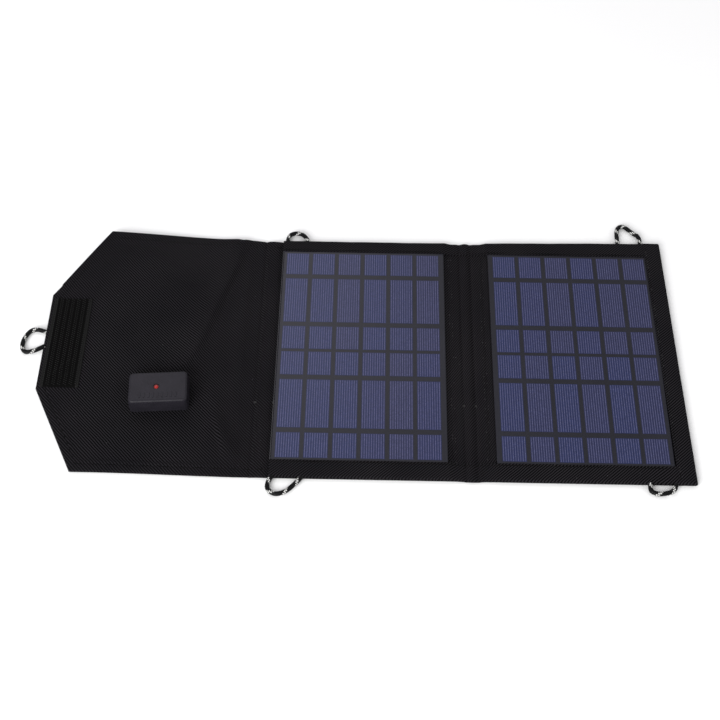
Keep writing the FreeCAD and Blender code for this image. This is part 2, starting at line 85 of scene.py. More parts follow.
TIP_X = node_box("flap_back_cloth")[0].x
SIDE_X = node_box("panel_2_back_cover")[1].x
HALF_WIDTH = node_box("flap_back_cloth")[1].y
SEAM_X = node_box("panel_1_rear_band")[0].x
CLOTH_SEAM_X = SEAM_X + 0.3    # where the flap's spine cloth meets panel 1's
FLAP_CORNER_REAR_X = -205.6
FLAP_CORNER_FRONT_X = -209.9
TIP_REAR = 51.0
TIP_FRONT = -37.6
SPINE_TOP = node_box("flap_front_cloth")[1].z
CLOTH_TOP = node_box("panel_1_backing_board")[0].z
FILM_TOP = node_box("panel_1_front_film")[1].z
BAND_TOP = node_box("panel_1_rear_band")[1].z
BAND_INNER_REAR = node_box("panel_1_rear_band")[0].y
BAND_INNER_FRONT = -97.0
SIDE_BAND_X = 232.6
SPINE_BAND_TOP = 3.0
LAMINATE_RIGHT = node_box("panel_1_backing_board")[1].x
LAMINATE_LEFT = node_box("panel_2_backing_board")[0].x
PANEL_1_SEAM = 71.0
PANEL_2_SEAM = 98.5
HEM_STITCH = 6.6               # how far the flap's hem is stitched from its edge
HOOK_SELVEDGE_WIDTH = 2.6
HOOK_RADIUS = 0.2
HOOK_PITCH = (2.2, 1.9)
TRACER_STRANDS = (2, 3)        # the braid's white strands
BOX_CENTRE = (-150.2, -42.1)

CELL_COLUMNS = 6
CELL_ROWS = 2
CELL_GAP = 3.2
CELL_ROW_GAP = 2.7
RIBBON_WIDTH = 4.3
RIBBON_AT = (0.25, 0.75)
FINGERS = 10

CORD = 3.6
CORD_ROUTES = {
    "panel_1_cord_loop_rear": [
        (-60.6, 105.5, 2.7), (-61.4, 116.4, 2.4), (-54.0, 120.6, 2.0),
        (-45.8, 117.0, 2.4), (-41.4, 105.5, 2.7)],
    "panel_1_cord_loop_front": [
        (-58.6, -105.5, 2.7), (-66.8, -117.0, 2.3), (-59.6, -125.8, 1.9),
        (-47.2, -121.2, 2.2), (-36.2, -105.5, 2.7)],
    "panel_2_cord_loop_rear": [
        (211.6, 105.5, 2.7), (210.8, 119.0, 2.4), (211.8, 131.4, 2.1), (217.8, 134.2, 1.9),
        (224.0, 126.6, 2.1), (230.9, 121.2, 2.4), (229.2, 105.5, 2.7)],
    "panel_2_cord_loop_front": [
        (217.6, -103.4, 2.7), (211.6, -114.2, 2.3), (217.8, -119.8, 2.0),
        (234.6, -115.8, 2.3), (232.0, -103.4, 2.7)],
    "flap_cord_loop": [
        (-244.9, 14.6, 1.9), (-254.2, 19.4, 1.9), (-261.4, 11.6, 1.9),
        (-262.8, -0.6, 1.9), (-256.6, -6.2, 1.9), (-244.9, 1.6, 1.9)],
}


# ---- materials ----------------------------------------------------------------------------------------
class Nodes:
    """A material's node tree, with short calls for the nodes that the finishes below share."""

    def __init__(self, name):
        self.material = bpy.data.materials.new(name)
        self.material.use_nodes = True
        self.tree = self.material.node_tree
        self.shader = self.tree.nodes["Principled BSDF"]
        self.coordinates = self.new("ShaderNodeTexCoord")

    def new(self, kind, **settings):
        node = self.tree.nodes.new(kind)
        for key, value in settings.items():
            setattr(node, key, value)
        return node

    def link(self, source, target):
        self.tree.links.new(source, target)

    def set(self, **values):
        for key, value in values.items():
            self.shader.inputs[key.replace("_", " ")].default_value = value

    def value(self, operation, first, second=None, third=None):
        node = self.new("ShaderNodeMath", operation=operation)
        for socket, given in zip(node.inputs, (first, second, third)):
            if given is None:
                continue
            if hasattr(given, "links"):
                self.link(given, socket)
            else:
                socket.default_value = given
        return node.outputs[0]

    def place(self, source="Object", scale=(1, 1, 1), turn=0.0):
        mapping = self.new("ShaderNodeMapping")
        self.link(self.coordinates.outputs[source], mapping.inputs["Vector"])
        mapping.inputs["Scale"].default_value = scale
        mapping.inputs["Rotation"].default_value = (0, 0, turn)
        return mapping.outputs[0]

    def noise(self, size, vector=None, detail=2.0, roughness=0.5):
        """Noise whose features are about size millimetres across."""
        node = self.new("ShaderNodeTexNoise")
        node.inputs["Scale"].default_value = 1 / (size * MM)
        node.inputs["Detail"].default_value = detail
        node.inputs["Roughness"].default_value = roughness
        self.link(vector or self.coordinates.outputs["Object"], node.inputs["Vector"])
        return node.outputs[0]

    def ramp(self, factor, stops):
        node = self.new("ShaderNodeValToRGB")
        elements = node.color_ramp.elements
        while len(elements) < len(stops):
            elements.new(0.5)
        for element, (position, colour) in zip(elements, stops):
            element.position = position
            element.color = (*colour, 1) if len(colour) == 3 else colour
        self.link(factor, node.inputs[0])
        return node.outputs[0]

    def mix(self, factor, first, second, blend="MIX"):
        node = self.new("ShaderNodeMix", data_type="RGBA", blend_type=blend)
        for socket, given in ((node.inputs[0], factor), (node.inputs[6], first), (node.inputs[7], second)):
            if hasattr(given, "links"):
                self.link(given, socket)
            elif isinstance(given, (int, float)):
                socket.default_value = given
            else:
                socket.default_value = (*given, 1)
        return node.outputs[2]

    def colour(self, source):
        self.link(source, self.shader.inputs["Base Color"])

    def roughness(self, factor, low, high):
        node = self.new("ShaderNodeMapRange")
        node.inputs["To Min"].default_value = low
        node.inputs["To Max"].default_value = high
        self.link(factor, node.inputs["Value"])
        self.link(node.outputs[0], self.shader.inputs["Roughness"])

    def bump(self, height, depth, strength=1.0):
        """Bump whose height of 0 to 1 stands for depth millimetres."""
        node = self.new("ShaderNodeBump")
        node.inputs["Strength"].default_value = strength
        node.inputs["Distance"].default_value = depth * MM
        self.link(height, node.inputs["Height"])
        self.link(node.outputs[0], self.shader.inputs["Normal"])


def grey(level, warmth=0.0):
    return (level * (1 + warmth), level, level * (1 - warmth))


def twill_height(nodes, pitch, turn):
    """Diagonal ribs of a twill, each broken into short floats along its length."""
    place = nodes.place("UV", (1 / (pitch * MM), 1 / (pitch * MM), 1), turn)
    split = nodes.new("ShaderNodeSeparateXYZ")
    nodes.link(place, split.inputs[0])
    across, along = split.outputs[0], split.outputs[1]
    wobble = nodes.value("MULTIPLY", nodes.noise(9.0), 0.55)
    across = nodes.value("ADD", across, wobble)
    rib = nodes.value("SINE", nodes.value("MULTIPLY", across, 2 * math.pi))
    rib = nodes.value("MULTIPLY_ADD", rib, 0.5, 0.5)
    steps = nodes.value("MULTIPLY_ADD", along, 2 * math.pi * 0.9, nodes.value("MULTIPLY", across, math.pi))
    float_ = nodes.value("MULTIPLY_ADD", nodes.value("SINE", steps), 0.16, 0.84)
    return nodes.value("MULTIPLY", rib, float_)


def twill(name, turn, pitch=1.75, dark=0.0005, light=0.0205):
    """Coated polyester twill. turn is the angle of the ribs' normal from +X, in radians."""
    nodes = Nodes(name)
    height = twill_height(nodes, pitch, turn)
    fuzz = nodes.noise(0.5, detail=3)
    cloud = nodes.noise(55, detail=2)
    # Colour by rib height: the ribs' tops are painted lighter and the grooves darker, a painted highlight and
    # painted shade of the weave. The cloud tint and the lint specks mixed in below are the cloth's own.
    ribs = nodes.ramp(height, [(0.28, grey(dark)), (0.68, (light * 1.02, light * 0.97, light * 1.06))])
    tint = nodes.ramp(cloud, [(0.3, (0.80, 0.78, 0.86)), (0.7, (1.10, 1.06, 1.12))])
    lint = nodes.ramp(nodes.noise(1.3, detail=1), [(0.805, (0, 0, 0)), (0.84, (0.09, 0.09, 0.092))])
    painted_rib_shade_and_lint = nodes.mix(1.0, nodes.mix(1.0, ribs, tint, "MULTIPLY"), lint, "ADD")
    nodes.colour(painted_rib_shade_and_lint)
    nodes.roughness(fuzz, 0.62, 0.85)
    nodes.set(Sheen_Weight=0.006, Sheen_Roughness=0.5, Specular_IOR_Level=0.03)
    relief = nodes.value("MULTIPLY_ADD", fuzz, 0.35, height)
    nodes.bump(relief, 0.24, 0.9)
    return nodes.material


def thread(name, level):
    nodes = Nodes(name)
    twist = nodes.noise(0.35, detail=2)
    nodes.colour(nodes.ramp(twist, [(0.3, grey(level * 0.6)), (0.7, grey(level * 1.35))]))
    nodes.roughness(twist, 0.5, 0.75)
    nodes.set(Specular_IOR_Level=0.05)
    nodes.bump(twist, 0.06, 0.6)
    return nodes.material


def plastic(name, colour, rough=(0.42, 0.56), grain=0.45, depth=0.03, lift=1.25, gloss=0.3):
    """Moulded plastic with a fine spark-eroded texture."""
    nodes = Nodes(name)
    fine = nodes.noise(grain, detail=3)
    broad = nodes.noise(14, detail=2)
    low = tuple(c * 0.86 for c in colour)
    high = tuple(c * lift for c in colour)
    nodes.colour(nodes.ramp(broad, [(0.25, low), (0.75, high)]))
    nodes.roughness(fine, *rough)
    nodes.set(Specular_IOR_Level=gloss)
    nodes.bump(fine, depth, 0.7)
    return nodes.material


def metal(name, colour, rough=(0.2, 0.4), grain=0.8):
    nodes = Nodes(name)
    brushed = nodes.noise(grain, nodes.place(scale=(1, 12, 1)), detail=2)
    nodes.colour(nodes.ramp(brushed, [(0.2, tuple(c * 0.8 for c in colour)), (0.8, colour)]))
    nodes.roughness(brushed, *rough)
    nodes.set(Metallic=1.0)
    nodes.bump(brushed, 0.01, 0.4)
    return nodes.material


def laminate_film():
    """The laminate's dark face between and around the cells, under a satin film."""
    nodes = Nodes("laminate_film")
    mottled = nodes.noise(1.1, detail=3)
    cloud = nodes.noise(40, detail=1)
    base = nodes.ramp(mottled, [(0.3, (0.009, 0.009, 0.014)), (0.7, (0.013, 0.013, 0.019))])
    tint = nodes.ramp(cloud, [(0.3, (0.88, 0.88, 0.9)), (0.7, (1.1, 1.1, 1.12))])
    nodes.colour(nodes.mix(1.0, base, tint, "MULTIPLY"))
    nodes.roughness(mottled, 0.27, 0.36)
    nodes.set(Specular_IOR_Level=0.28)
    nodes.bump(mottled, 0.02, 0.5)
    return nodes.material


def cell_face(name, colour):
    """Blue silicon with crystal grain, seen through the film."""
    nodes = Nodes(name)
    grain = nodes.noise(1.3, detail=4, roughness=0.65)
    flakes = nodes.new("ShaderNodeTexVoronoi")
    flakes.inputs["Scale"].default_value = 1 / (2.6 * MM)
    nodes.link(nodes.coordinates.outputs["Object"], flakes.inputs["Vector"])
    shade = nodes.value("MULTIPLY_ADD", flakes.outputs["Distance"], 0.5, nodes.value("MULTIPLY", grain, 0.6))
    low = tuple(c * 0.82 for c in colour)
    high = tuple(c * 1.2 for c in colour)
    nodes.colour(nodes.ramp(shade, [(0.25, low), (0.75, high)]))
    nodes.roughness(grain, 0.27, 0.36)
    nodes.set(Specular_IOR_Level=0.28)
    nodes.bump(grain, 0.02, 0.4)
    return nodes.material


def finger_line():
    nodes = Nodes("cell_finger")
    grain = nodes.noise(0.9, detail=3)
    nodes.colour(nodes.ramp(grain, [(0.3, (0.056, 0.058, 0.122)), (0.72, (0.140, 0.142, 0.262))]))
    nodes.roughness(grain, 0.34, 0.5)
    nodes.set(Specular_IOR_Level=0.24)
    return nodes.material


def tape(name, level):
    """Woven tape under hooks or loops."""
    nodes = Nodes(name)
    weave = nodes.new("ShaderNodeTexChecker")
    weave.inputs["Scale"].default_value = 1 / (0.8 * MM)
    nodes.link(nodes.coordinates.outputs["Object"], weave.inputs["Vector"])
    fuzz = nodes.noise(0.6, detail=3)
    height = nodes.value("MULTIPLY_ADD", weave.outputs["Fac"], 0.5, nodes.value("MULTIPLY", fuzz, 0.6))
    nodes.colour(nodes.ramp(height, [(0.2, grey(level * 0.55)), (0.85, grey(level * 1.4))]))
    nodes.roughness(fuzz, 0.6, 0.85)
    nodes.set(Specular_IOR_Level=0.03)
    nodes.bump(height, 0.10, 0.7)
    return nodes.material


def cord_yarn(name, colour, rough=(0.30, 0.48)):
    nodes = Nodes(name)
    fibres = nodes.noise(0.25, detail=2)
    low = tuple(c * 0.7 for c in colour)
    high = tuple(c * 1.2 for c in colour)
    nodes.colour(nodes.ramp(fibres, [(0.3, low), (0.7, high)]))
    nodes.roughness(fibres, *rough)
    nodes.set(Specular_IOR_Level=0.12)
    nodes.bump(fibres, 0.05, 0.5)
    return nodes.material


def lamp_lens():
    nodes = Nodes("lamp_lens")
    # The lens's colour follows the view: bright red where it faces the camera and dark towards its edge, a
    # painted bright spot and painted shade.
    depth = nodes.new("ShaderNodeLayerWeight")
    depth.inputs["Blend"].default_value = 0.35
    stops = [(0.0, (0.26, 0.006, 0.005)), (0.5, (0.03, 0.001, 0.001))]
    nodes.colour(nodes.ramp(depth.outputs["Facing"], stops))
    speck = nodes.noise(1.2)
    nodes.roughness(speck, 0.08, 0.2)
    nodes.set(Coat_Weight=0.15, Coat_Roughness=0.1, Specular_IOR_Level=0.3,
              Emission_Color=(1.0, 0.03, 0.02, 1), Emission_Strength=0.06)
    return nodes.material


TWILL_FLAP = twill("twill_flap", math.radians(-44))
TWILL_PANEL = twill("twill_panel", math.radians(36), pitch=1.55)
TWILL_BAND = twill("twill_band", math.radians(48), pitch=1.65)
THREAD_BLACK = thread("thread_black", 0.0010)
# The lighter grey thread is a painted glint: a share of the black stitches is drawn in it, as if those
# stitches catch the light.
THREAD_GLINT = thread("thread_painted_glint", 0.05)
FILM = laminate_film()
SEAM_THREADS = [THREAD_BLACK, THREAD_GLINT]
CELLS = [cell_face("cell_" + str(i), colour) for i, colour in enumerate([
    (0.0140, 0.0180, 0.060), (0.0152, 0.0184, 0.058), (0.0130, 0.0184, 0.065),
    (0.0160, 0.0184, 0.056), (0.0140, 0.0180, 0.062)])]
FINGER = finger_line()
HOOK_SELVEDGE = tape("hook_selvedge", 0.0120)
HOOK_GROUND = tape("hook_ground", 0.0030)
HOOK_YARN = thread("hook_yarn", 0.0260)
LOOP_TAPE = tape("loop_tape", 0.007)
CORD_BLACK = cord_yarn("cord_black", (0.0025, 0.0025, 0.003))
CORD_WHITE = cord_yarn("cord_white", (0.72, 0.72, 0.70), (0.5, 0.7))
BOX_PLASTIC = plastic("box_plastic", (0.0148, 0.0135, 0.0180), rough=(0.34, 0.46), gloss=0.15)
LENS = lamp_lens()
LENS_RIM = plastic("lamp_rim", (0.012, 0.002, 0.002), rough=(0.15, 0.3), gloss=0.2)

NODE_FINISHES = {
    "stiffener": plastic("stiffener_board", (0.10, 0.10, 0.11), grain=2.0),
    "junction_cap": plastic("potting", (0.015, 0.015, 0.015), rough=(0.3, 0.45)),
    "diode": plastic("chip_black", (0.012, 0.012, 0.012)),
    "lead": plastic("wire_sheath", (0.02, 0.02, 0.02), rough=(0.4, 0.6)),
    "flap_backing_plate": plastic("plate_plastic", (0.05, 0.05, 0.05)),
    "regulator_base": BOX_PLASTIC,
    "regulator_lid": BOX_PLASTIC,
    "regulator_pcb": plastic("circuit_board", (0.02, 0.13, 0.05), rough=(0.25, 0.4), grain=1.5),
    "inductor": plastic("ferrite", (0.09, 0.09, 0.10), grain=0.8),
    "converter_chip": plastic("chip_epoxy", (0.013, 0.013, 0.013)),
    "capacitors": metal("capacitor_can", (0.75, 0.75, 0.77)),
    "usb_shell": metal("socket_shell", (0.66, 0.66, 0.67)),
    "usb_tongue": plastic("socket_plastic", (0.75, 0.75, 0.72)),
    "usb_contacts": metal("socket_contact", (0.83, 0.64, 0.30)),
    "box_screws": metal("screw_steel", (0.5, 0.5, 0.51)),
    "lead_grommet": plastic("grommet_rubber", (0.018, 0.018, 0.018), rough=(0.6, 0.8)),
}


def finish_cad_nodes():
    """Gives each CAD node that stays in view its own finish."""
    for name, node in frame["nodes"].items():
        for ending, finish in NODE_FINISHES.items():
            if name.endswith(ending):
                node.data.materials.clear()
                node.data.materials.append(finish)


# ---- mesh helpers -------------------------------------------------------------------------------------
def add_object(name, vertices, faces, materials, smooth=True, face_materials=None):
    mesh = bpy.data.meshes.new(name)
    mesh.from_pydata([tuple(float(c) * MM for c in v) for v in vertices], [], [tuple(f) for f in faces])
    for material in materials:
        mesh.materials.append(material)
    if face_materials is not None:
        mesh.polygons.foreach_set("material_index", face_materials)
    mesh.polygons.foreach_set("use_smooth", [smooth] * len(mesh.polygons))
    obj = bpy.data.objects.new(name, mesh)
    bpy.context.scene.collection.objects.link(obj)
    return obj


def clean(obj, sharp_degrees=None):
    """Welds coincident points, makes the normals point out and marks sharp edges."""
    work = bmesh.new()
    work.from_mesh(obj.data)
    bmesh.ops.remove_doubles(work, verts=work.verts, dist=1e-7)
    bmesh.ops.dissolve_degenerate(work, edges=work.edges, dist=1e-8)
    bmesh.ops.recalc_face_normals(work, faces=work.faces)
    if sharp_degrees:
        limit = math.radians(sharp_degrees)
        for edge in work.edges:
            edge.smooth = not (edge.is_manifold and edge.calc_face_angle(0) > limit)
    work.to_mesh(obj.data)
    work.free()
    return obj


def lay_uv(obj):
    """UVs that are the piece's own X and Y in metres, so that the weave stays put when the cloth bends."""
    layer = obj.data.uv_layers.new(name="cloth")
    coordinates = np.zeros(len(obj.data.vertices) * 3)
    obj.data.vertices.foreach_get("co", coordinates)
    coordinates = coordinates.reshape(-1, 3)
    loops = np.zeros(len(obj.data.loops), dtype=int)
    obj.data.loops.foreach_get("vertex_index", loops)
    layer.data.foreach_set("uv", coordinates[loops][:, :2].ravel())


def bridge(rings, caps=True):
    """Vertices and quads that join rings of equal length, one after another."""
    count = len(rings[0])
    vertices = [p for ring in rings for p in ring]
    faces = []
    for i in range(len(rings) - 1):
        for j in range(count):
            k = (j + 1) % count
            faces.append((i * count + j, i * count + k, (i + 1) * count + k, (i + 1) * count + j))
    if caps:
        faces.append(tuple(range(count)))
        faces.append(tuple((len(rings) - 1) * count + j for j in reversed(range(count))))
    return vertices, faces


def smooth_step(t):
    t = np.clip(t, 0, 1)
    return t * t * (3 - 2 * t)


def segment_distance(x, y, ax, ay, bx, by):
    """Distance from points to a segment, the side that they lie on and how far along it they are."""
    dx, dy = bx - ax, by - ay
    length = math.hypot(dx, dy)
    along = np.clip(((x - ax) * dx + (y - ay) * dy) / length ** 2, 0, 1)
    off_x, off_y = x - ax - along * dx, y - ay - along * dy
    side = np.sign(dx * off_y - dy * off_x)
    return np.hypot(off_x, off_y), side, along


def fold(x, y, points, height, left, right):
    """A crease along a line of points: height, with a slope left wide on one side and right on the other."""
    best = np.full(np.shape(x), 1e9)
    best_side = np.zeros(np.shape(x))
    best_along = np.zeros(np.shape(x))
    for i, ((ax, ay), (bx, by)) in enumerate(zip(points, points[1:])):
        distance, side, along = segment_distance(x, y, ax, ay, bx, by)
        closer = distance < best
        best = np.where(closer, distance, best)
        best_side = np.where(closer, side, best_side)
        best_along = np.where(closer, (i + along) / (len(points) - 1), best_along)
    width = np.where(best_side > 0, left, right)
    fade = np.sin(np.pi * np.clip(best_along * 0.9 + 0.05, 0, 1)) ** 0.5
    return height * np.exp(-(best / width) ** 2) * fade


def ripple(x, y, size, seed):
    """A smooth unevenness of -1 to 1, whose hollows are about size millimetres apart."""
    total = 0
    generator = random.Random(seed)
    for _ in range(5):
        angle = generator.uniform(0, 2 * math.pi)
        period = size * generator.uniform(0.75, 1.5)
        phase = generator.uniform(0, 2 * math.pi)
        total = total + np.sin(2 * math.pi * (x * math.cos(angle) + y * math.sin(angle)) / period + phase)
    return total / 5


# ---- outlines of the cloth ----------------------------------------------------------------------------
def rear_edge(x):
    """The rear hem, which runs out a little at both ends of the charger."""
    if x < FLAP_CORNER_REAR_X:
        t = (x - TIP_X) / (FLAP_CORNER_REAR_X - TIP_X)
        return TIP_REAR + t * (rear_edge(FLAP_CORNER_REAR_X) - TIP_REAR)
    if x < FLAP_RIGHT:
        kinks = 0.9 * math.exp(-((x + 97) / 3.0) ** 2) - 0.5 * math.exp(-((x + 86) / 4.0) ** 2)
        return HALF_WIDTH - 0.5 + 5.2 * (FLAP_RIGHT - x) / (FLAP_RIGHT - FLAP_CORNER_REAR_X) - kinks
    return HALF_WIDTH - 0.5 + 3.3 * smooth_step((x - 20) / 230) + 0.5 * math.exp(-((x + 74) / 2.5) ** 2)


def front_edge(x):
    if x < FLAP_CORNER_FRONT_X:
        t = (x - TIP_X) / (FLAP_CORNER_FRONT_X - TIP_X)
        return TIP_FRONT + t * (front_edge(FLAP_CORNER_FRONT_X) - TIP_FRONT)
    bulge = 0.7 * math.exp(-((x - FOLD_MIDDLE) / 7.0) ** 2)
    return -HALF_WIDTH + 2.0 * float(smooth_step((FLAP_RIGHT - x) / 120)) - bulge


EDGE_STEPS = (0.0, 0.05, 0.2, 0.5, 0.9, 1.5, 2.6, 4.0, 5.2, 6.0, 6.6, 7.2, 8.0, 9.0, 10.0, 11.5)


def rows_between(front, rear, step):
    """Positions from front to rear, closer together near both edges."""
    span = rear - front
    scale = min(1.0, span / (3 * EDGE_STEPS[-1]))
    near = [front + d * scale for d in EDGE_STEPS]
    far = [rear - d * scale for d in reversed(EDGE_STEPS)]
    count = max(2, round((2 * HALF_WIDTH - 2 * EDGE_STEPS[-1]) / step))
    middle = [near[-1] + (far[0] - near[-1]) * k / count for k in range(1, count)]
    return near + middle + far


def edge_distance(x, y, edges):
    """Distance inwards from the nearest of the piece's real edges, given as lines."""
    nearest = np.full(np.shape(x), 1e9)
    for (ax, ay), (bx, by) in edges:
        length = math.hypot(bx - ax, by - ay)
        distance = ((bx - ax) * (y - ay) - (by - ay) * (x - ax)) / length
        nearest = np.minimum(nearest, distance)
    return np.maximum(nearest, 0)


def cloth(name, columns, top, bottom, material, cut_ends, edge_radius=1.1, step=2.2):
    """A closed sheet between top(x, y, d) and bottom(x, y, d), where d is the distance from its edge.

    cut_ends says whether its first and last columns are seams to the next piece, not edges.
    """
    x_values, y_values = [], []
    for x in columns:
        ys = rows_between(front_edge(x), rear_edge(x), step)
        x_values.append([x] * len(ys))
        y_values.append(ys)
    xs = np.array(x_values)
    ys = np.array(y_values)
    first, last = columns[0], columns[-1]
    edges = []
    for corner, edge in ((FLAP_CORNER_FRONT_X, front_edge), (FLAP_CORNER_REAR_X, rear_edge)):
        marks = [x for x in (first, corner, last) if first <= x <= last]
        for a, b in zip(marks, marks[1:]):
            start, end = (a, edge(a)), (b, edge(b))
            edges.append((start, end) if edge is front_edge else (end, start))
    if not cut_ends[0]:
        edges.append(((first, rear_edge(first)), (first, front_edge(first))))
    if not cut_ends[1]:
        edges.append(((last, front_edge(last)), (last, rear_edge(last))))
    away = np.minimum(edge_distance(xs, ys, edges), np.minimum(ys - ys[:, :1], ys[:, -1:] - ys))
    upper = top(xs, ys, away)
    lower = bottom(xs, ys, away)
    middle = (upper + lower) / 2
    t = np.clip(away / edge_radius, 0, 1)
    roundness = np.sqrt(np.maximum(0, 1 - (1 - t) ** 2))
    upper = middle + (upper - middle) * roundness
    lower = middle + (lower - middle) * roundness
    rings = []
    for i in range(len(columns)):
        ring = [(xs[i, j], ys[i, j], upper[i, j]) for j in range(xs.shape[1])]
        ring += [(xs[i, j], ys[i, j], lower[i, j]) for j in reversed(range(xs.shape[1]))]
        rings.append(ring)
    vertices, faces = bridge(rings, caps=False)
    rows = xs.shape[1]
    for i, is_cut in ((0, cut_ends[0]), (len(columns) - 1, cut_ends[1])):
        base = i * 2 * rows
        if is_cut:
            for j in range(rows - 1):
                faces.append((base + j, base + j + 1, base + 2 * rows - 2 - j, base + 2 * rows - 1 - j))
    obj = add_object(name, vertices, faces, [material])
    clean(obj, 60)
    lay_uv(obj)
    return obj


def spread(start, end, step, extra=()):
    """Evenly spaced columns, with extra ones put in where the shape needs them."""
    count = max(1, round((end - start) / step))
    even = [start + (end - start) * i / count for i in range(count + 1)]
    wanted = sorted(set(even) | {x for x in extra if start < x < end})
    kept = [wanted[0]]
    for x in wanted[1:]:
        if x - kept[-1] > 0.12:
            kept.append(x)
    kept[-1] = end
    return kept


def near_edge(x, side):
    """Columns that round off an edge at x; side is +1 where the cloth lies towards +X."""
    return [x + side * d for d in EDGE_STEPS]


# ---- shape of the cloth -------------------------------------------------------------------------------
FLAP_FOLDS = [
    # points, height, width on the left, width on the right
    ([(-95, 112), (-101, 84), (-111.4, 53), (-121, 16), (-128, -4), (-137, -20)], 4.2, 3.2, 13.0),
    ([(-107, -58), (-103.9, -69), (-98, -86), (-92.5, -100)], 3.4, 7.0, 2.6),
    ([(-84, 108), (-90, 70), (-93, 20), (-90, -40), (-86, -108)], 0.9, 5.0, 5.0),
    ([(-235, -64), (-205, -84), (-176, -70), (-168, -62)], 1.1, 9.0, 14.0),
    ([(-172, -20), (-190, 10), (-196, 44)], 0.8, 16.0, 12.0),
    ([(-128, -30), (-112, -44), (-100, -52)], 1.3, 8.0, 5.0),
]


def near_box(x, y, reach):
    """1 under the regulator box, falling to 0 at reach millimetres from it."""
    dx = np.abs(x - BOX_CENTRE[0]) - 24.5
    dy = np.abs(y - BOX_CENTRE[1]) - 16.5
    distance = np.hypot(np.maximum(dx, 0), np.maximum(dy, 0))
    return 1 - smooth_step(distance / reach)


def flap_lift(x, y):
    """How far the flap's cloth lies off the ground: its wrinkles, and the corner that curls up."""
    total = 0.55 * (1 + ripple(x, y, 95, 3)) * 0.8
    for points, height, left, right in FLAP_FOLDS:
        total = total + fold(x, y, points, height, left, right)
    corner = smooth_step((y - 20) / 100) * smooth_step((-110 - x) / 100)
    total = total + 4.0 * corner
    total = total + 1.6 * smooth_step((-60 - y) / 60) * smooth_step((-150 - x) / 60)
    on_patch = smooth_step((x + 250) / 8) * (1 - smooth_step((x + 212) / 10)) * (np.abs(y - 5) < 56)
    total = total * (1 - 0.6 * on_patch)
    slant = segment_distance(x, y, TIP_X, TIP_FRONT, FLAP_CORNER_FRONT_X, -HALF_WIDTH)[0]
    held_down = smooth_step((y + HALF_WIDTH - 3) / 24) * smooth_step((slant - 3) / 24)
    return total * held_down * (1 - near_box(x, y, 16)) * smooth_step((FLAP_LEFT + 22 - x) / 10)


def hem(away, width=9.0, rise=0.5):
    """A folded hem: a second layer along the edge, with a stitched groove."""
    layer = rise * (1 - smooth_step((away - width) / 0.9))
    groove = -0.45 * np.exp(-((away - HEM_STITCH) / 0.8) ** 2)
    return layer + groove


def flap_top(x, y, away):
    return SPINE_TOP - 0.2 + hem(away) * (1 - near_box(x, y, 3)) + flap_lift(x, y)


def near_lead(x, y):
    """1 over the lead between the cloths, falling to 0 beside it."""
    nearest = np.full(np.shape(x), 1e9)
    for name in ("flap_lead", "flap_spine_lead"):
        low, high = node_box(name)
        dx = np.maximum(np.maximum(low.x - x, x - high.x), 0)
        dy = np.maximum(np.maximum(low.y - y, y - high.y), 0)
        nearest = np.minimum(nearest, np.hypot(dx, dy))
    return 1 - smooth_step((nearest - 2.5) / 5)


def flap_bottom(x, y, away):
    return 0.1 + 0.9 * flap_lift(x, y) * (1 - near_lead(x, y))


def crease(x, at, depth, width=1.3):
    return -depth * np.exp(-((x - at) / width) ** 2)


def hinge_top(x, y, away):
    """Between panel 1's seam and the flap: two soft creases with slack cloth between them."""
    slack = 0.5 * np.exp(-((x - (FLAP_RIGHT + SEAM_X) / 2) / 4.0) ** 2)
    roll = 0.35 * ripple(x * 0.3, y, 60, 11) * smooth_step((SEAM_X - x) / 5)
    return (SPINE_TOP - 0.2 + slack + roll + crease(x, FLAP_RIGHT, 0.75) + crease(x, SEAM_X, 0.9)
            + hem(away) * 0.8 + flap_lift(x, y))


def panel_top(x, y, raised, fold_line, seam):
    """Front cloth: raised where a board backs it, ridged along the spine, creased at fold and seam."""
    ridge = 0.9 * np.exp(-((x - FOLD_MIDDLE) / 2.6) ** 2)
    soft = 0.18 * ripple(x, y, 34, 5)
    return (SPINE_TOP + (CLOTH_TOP - SPINE_TOP) * raised + ridge + (soft + crease(x, fold_line, 0.9))
            * (1 - raised) + crease(x, seam, 0.25, 0.7) - 0.02)


def panel_1_top(x, y, away):
    return panel_top(x, y, 1 - smooth_step((x - LAMINATE_RIGHT - 0.6) / 3.5), FOLD_LEFT, PANEL_1_SEAM)


def panel_2_top(x, y, away):
    return panel_top(x, y, smooth_step((x - LAMINATE_LEFT + 4.1) / 3.5), FOLD_RIGHT, PANEL_2_SEAM)


def panel_bottom(x, y, away):
    return 0.08 + 0 * x


def panel_2_bottom(x, y, away):
    low, high = node_box("panel_2_loop_patch")
    inside = (x > low.x) & (x < high.x) & (y > low.y) & (y < high.y)
    return 0.08 + 0.3 * inside


def lean_end(obj):
    """Panel 2's outer end isn't cut quite square: it runs out towards the front."""
    for vertex in obj.data.vertices:
        x, y = vertex.co.x / MM, vertex.co.y / MM
        vertex.co.x += float(smooth_step((x - 214) / 14)) * (0.2 - 1.7 * y / HALF_WIDTH) * MM


def blend_columns(line):
    return [line + d for d in (-4, -3, -2.2, -1.5, -0.9, -0.4, 0, 0.4, 0.9, 1.5, 2.2, 3, 4)]


def bend(obj, a, b, line, side=1):
    """Bakes the piece's placement into its mesh; it doesn't bend it. a, b, line and side (+1 where b lies
    towards +X) are not used.
    """
    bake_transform(obj)


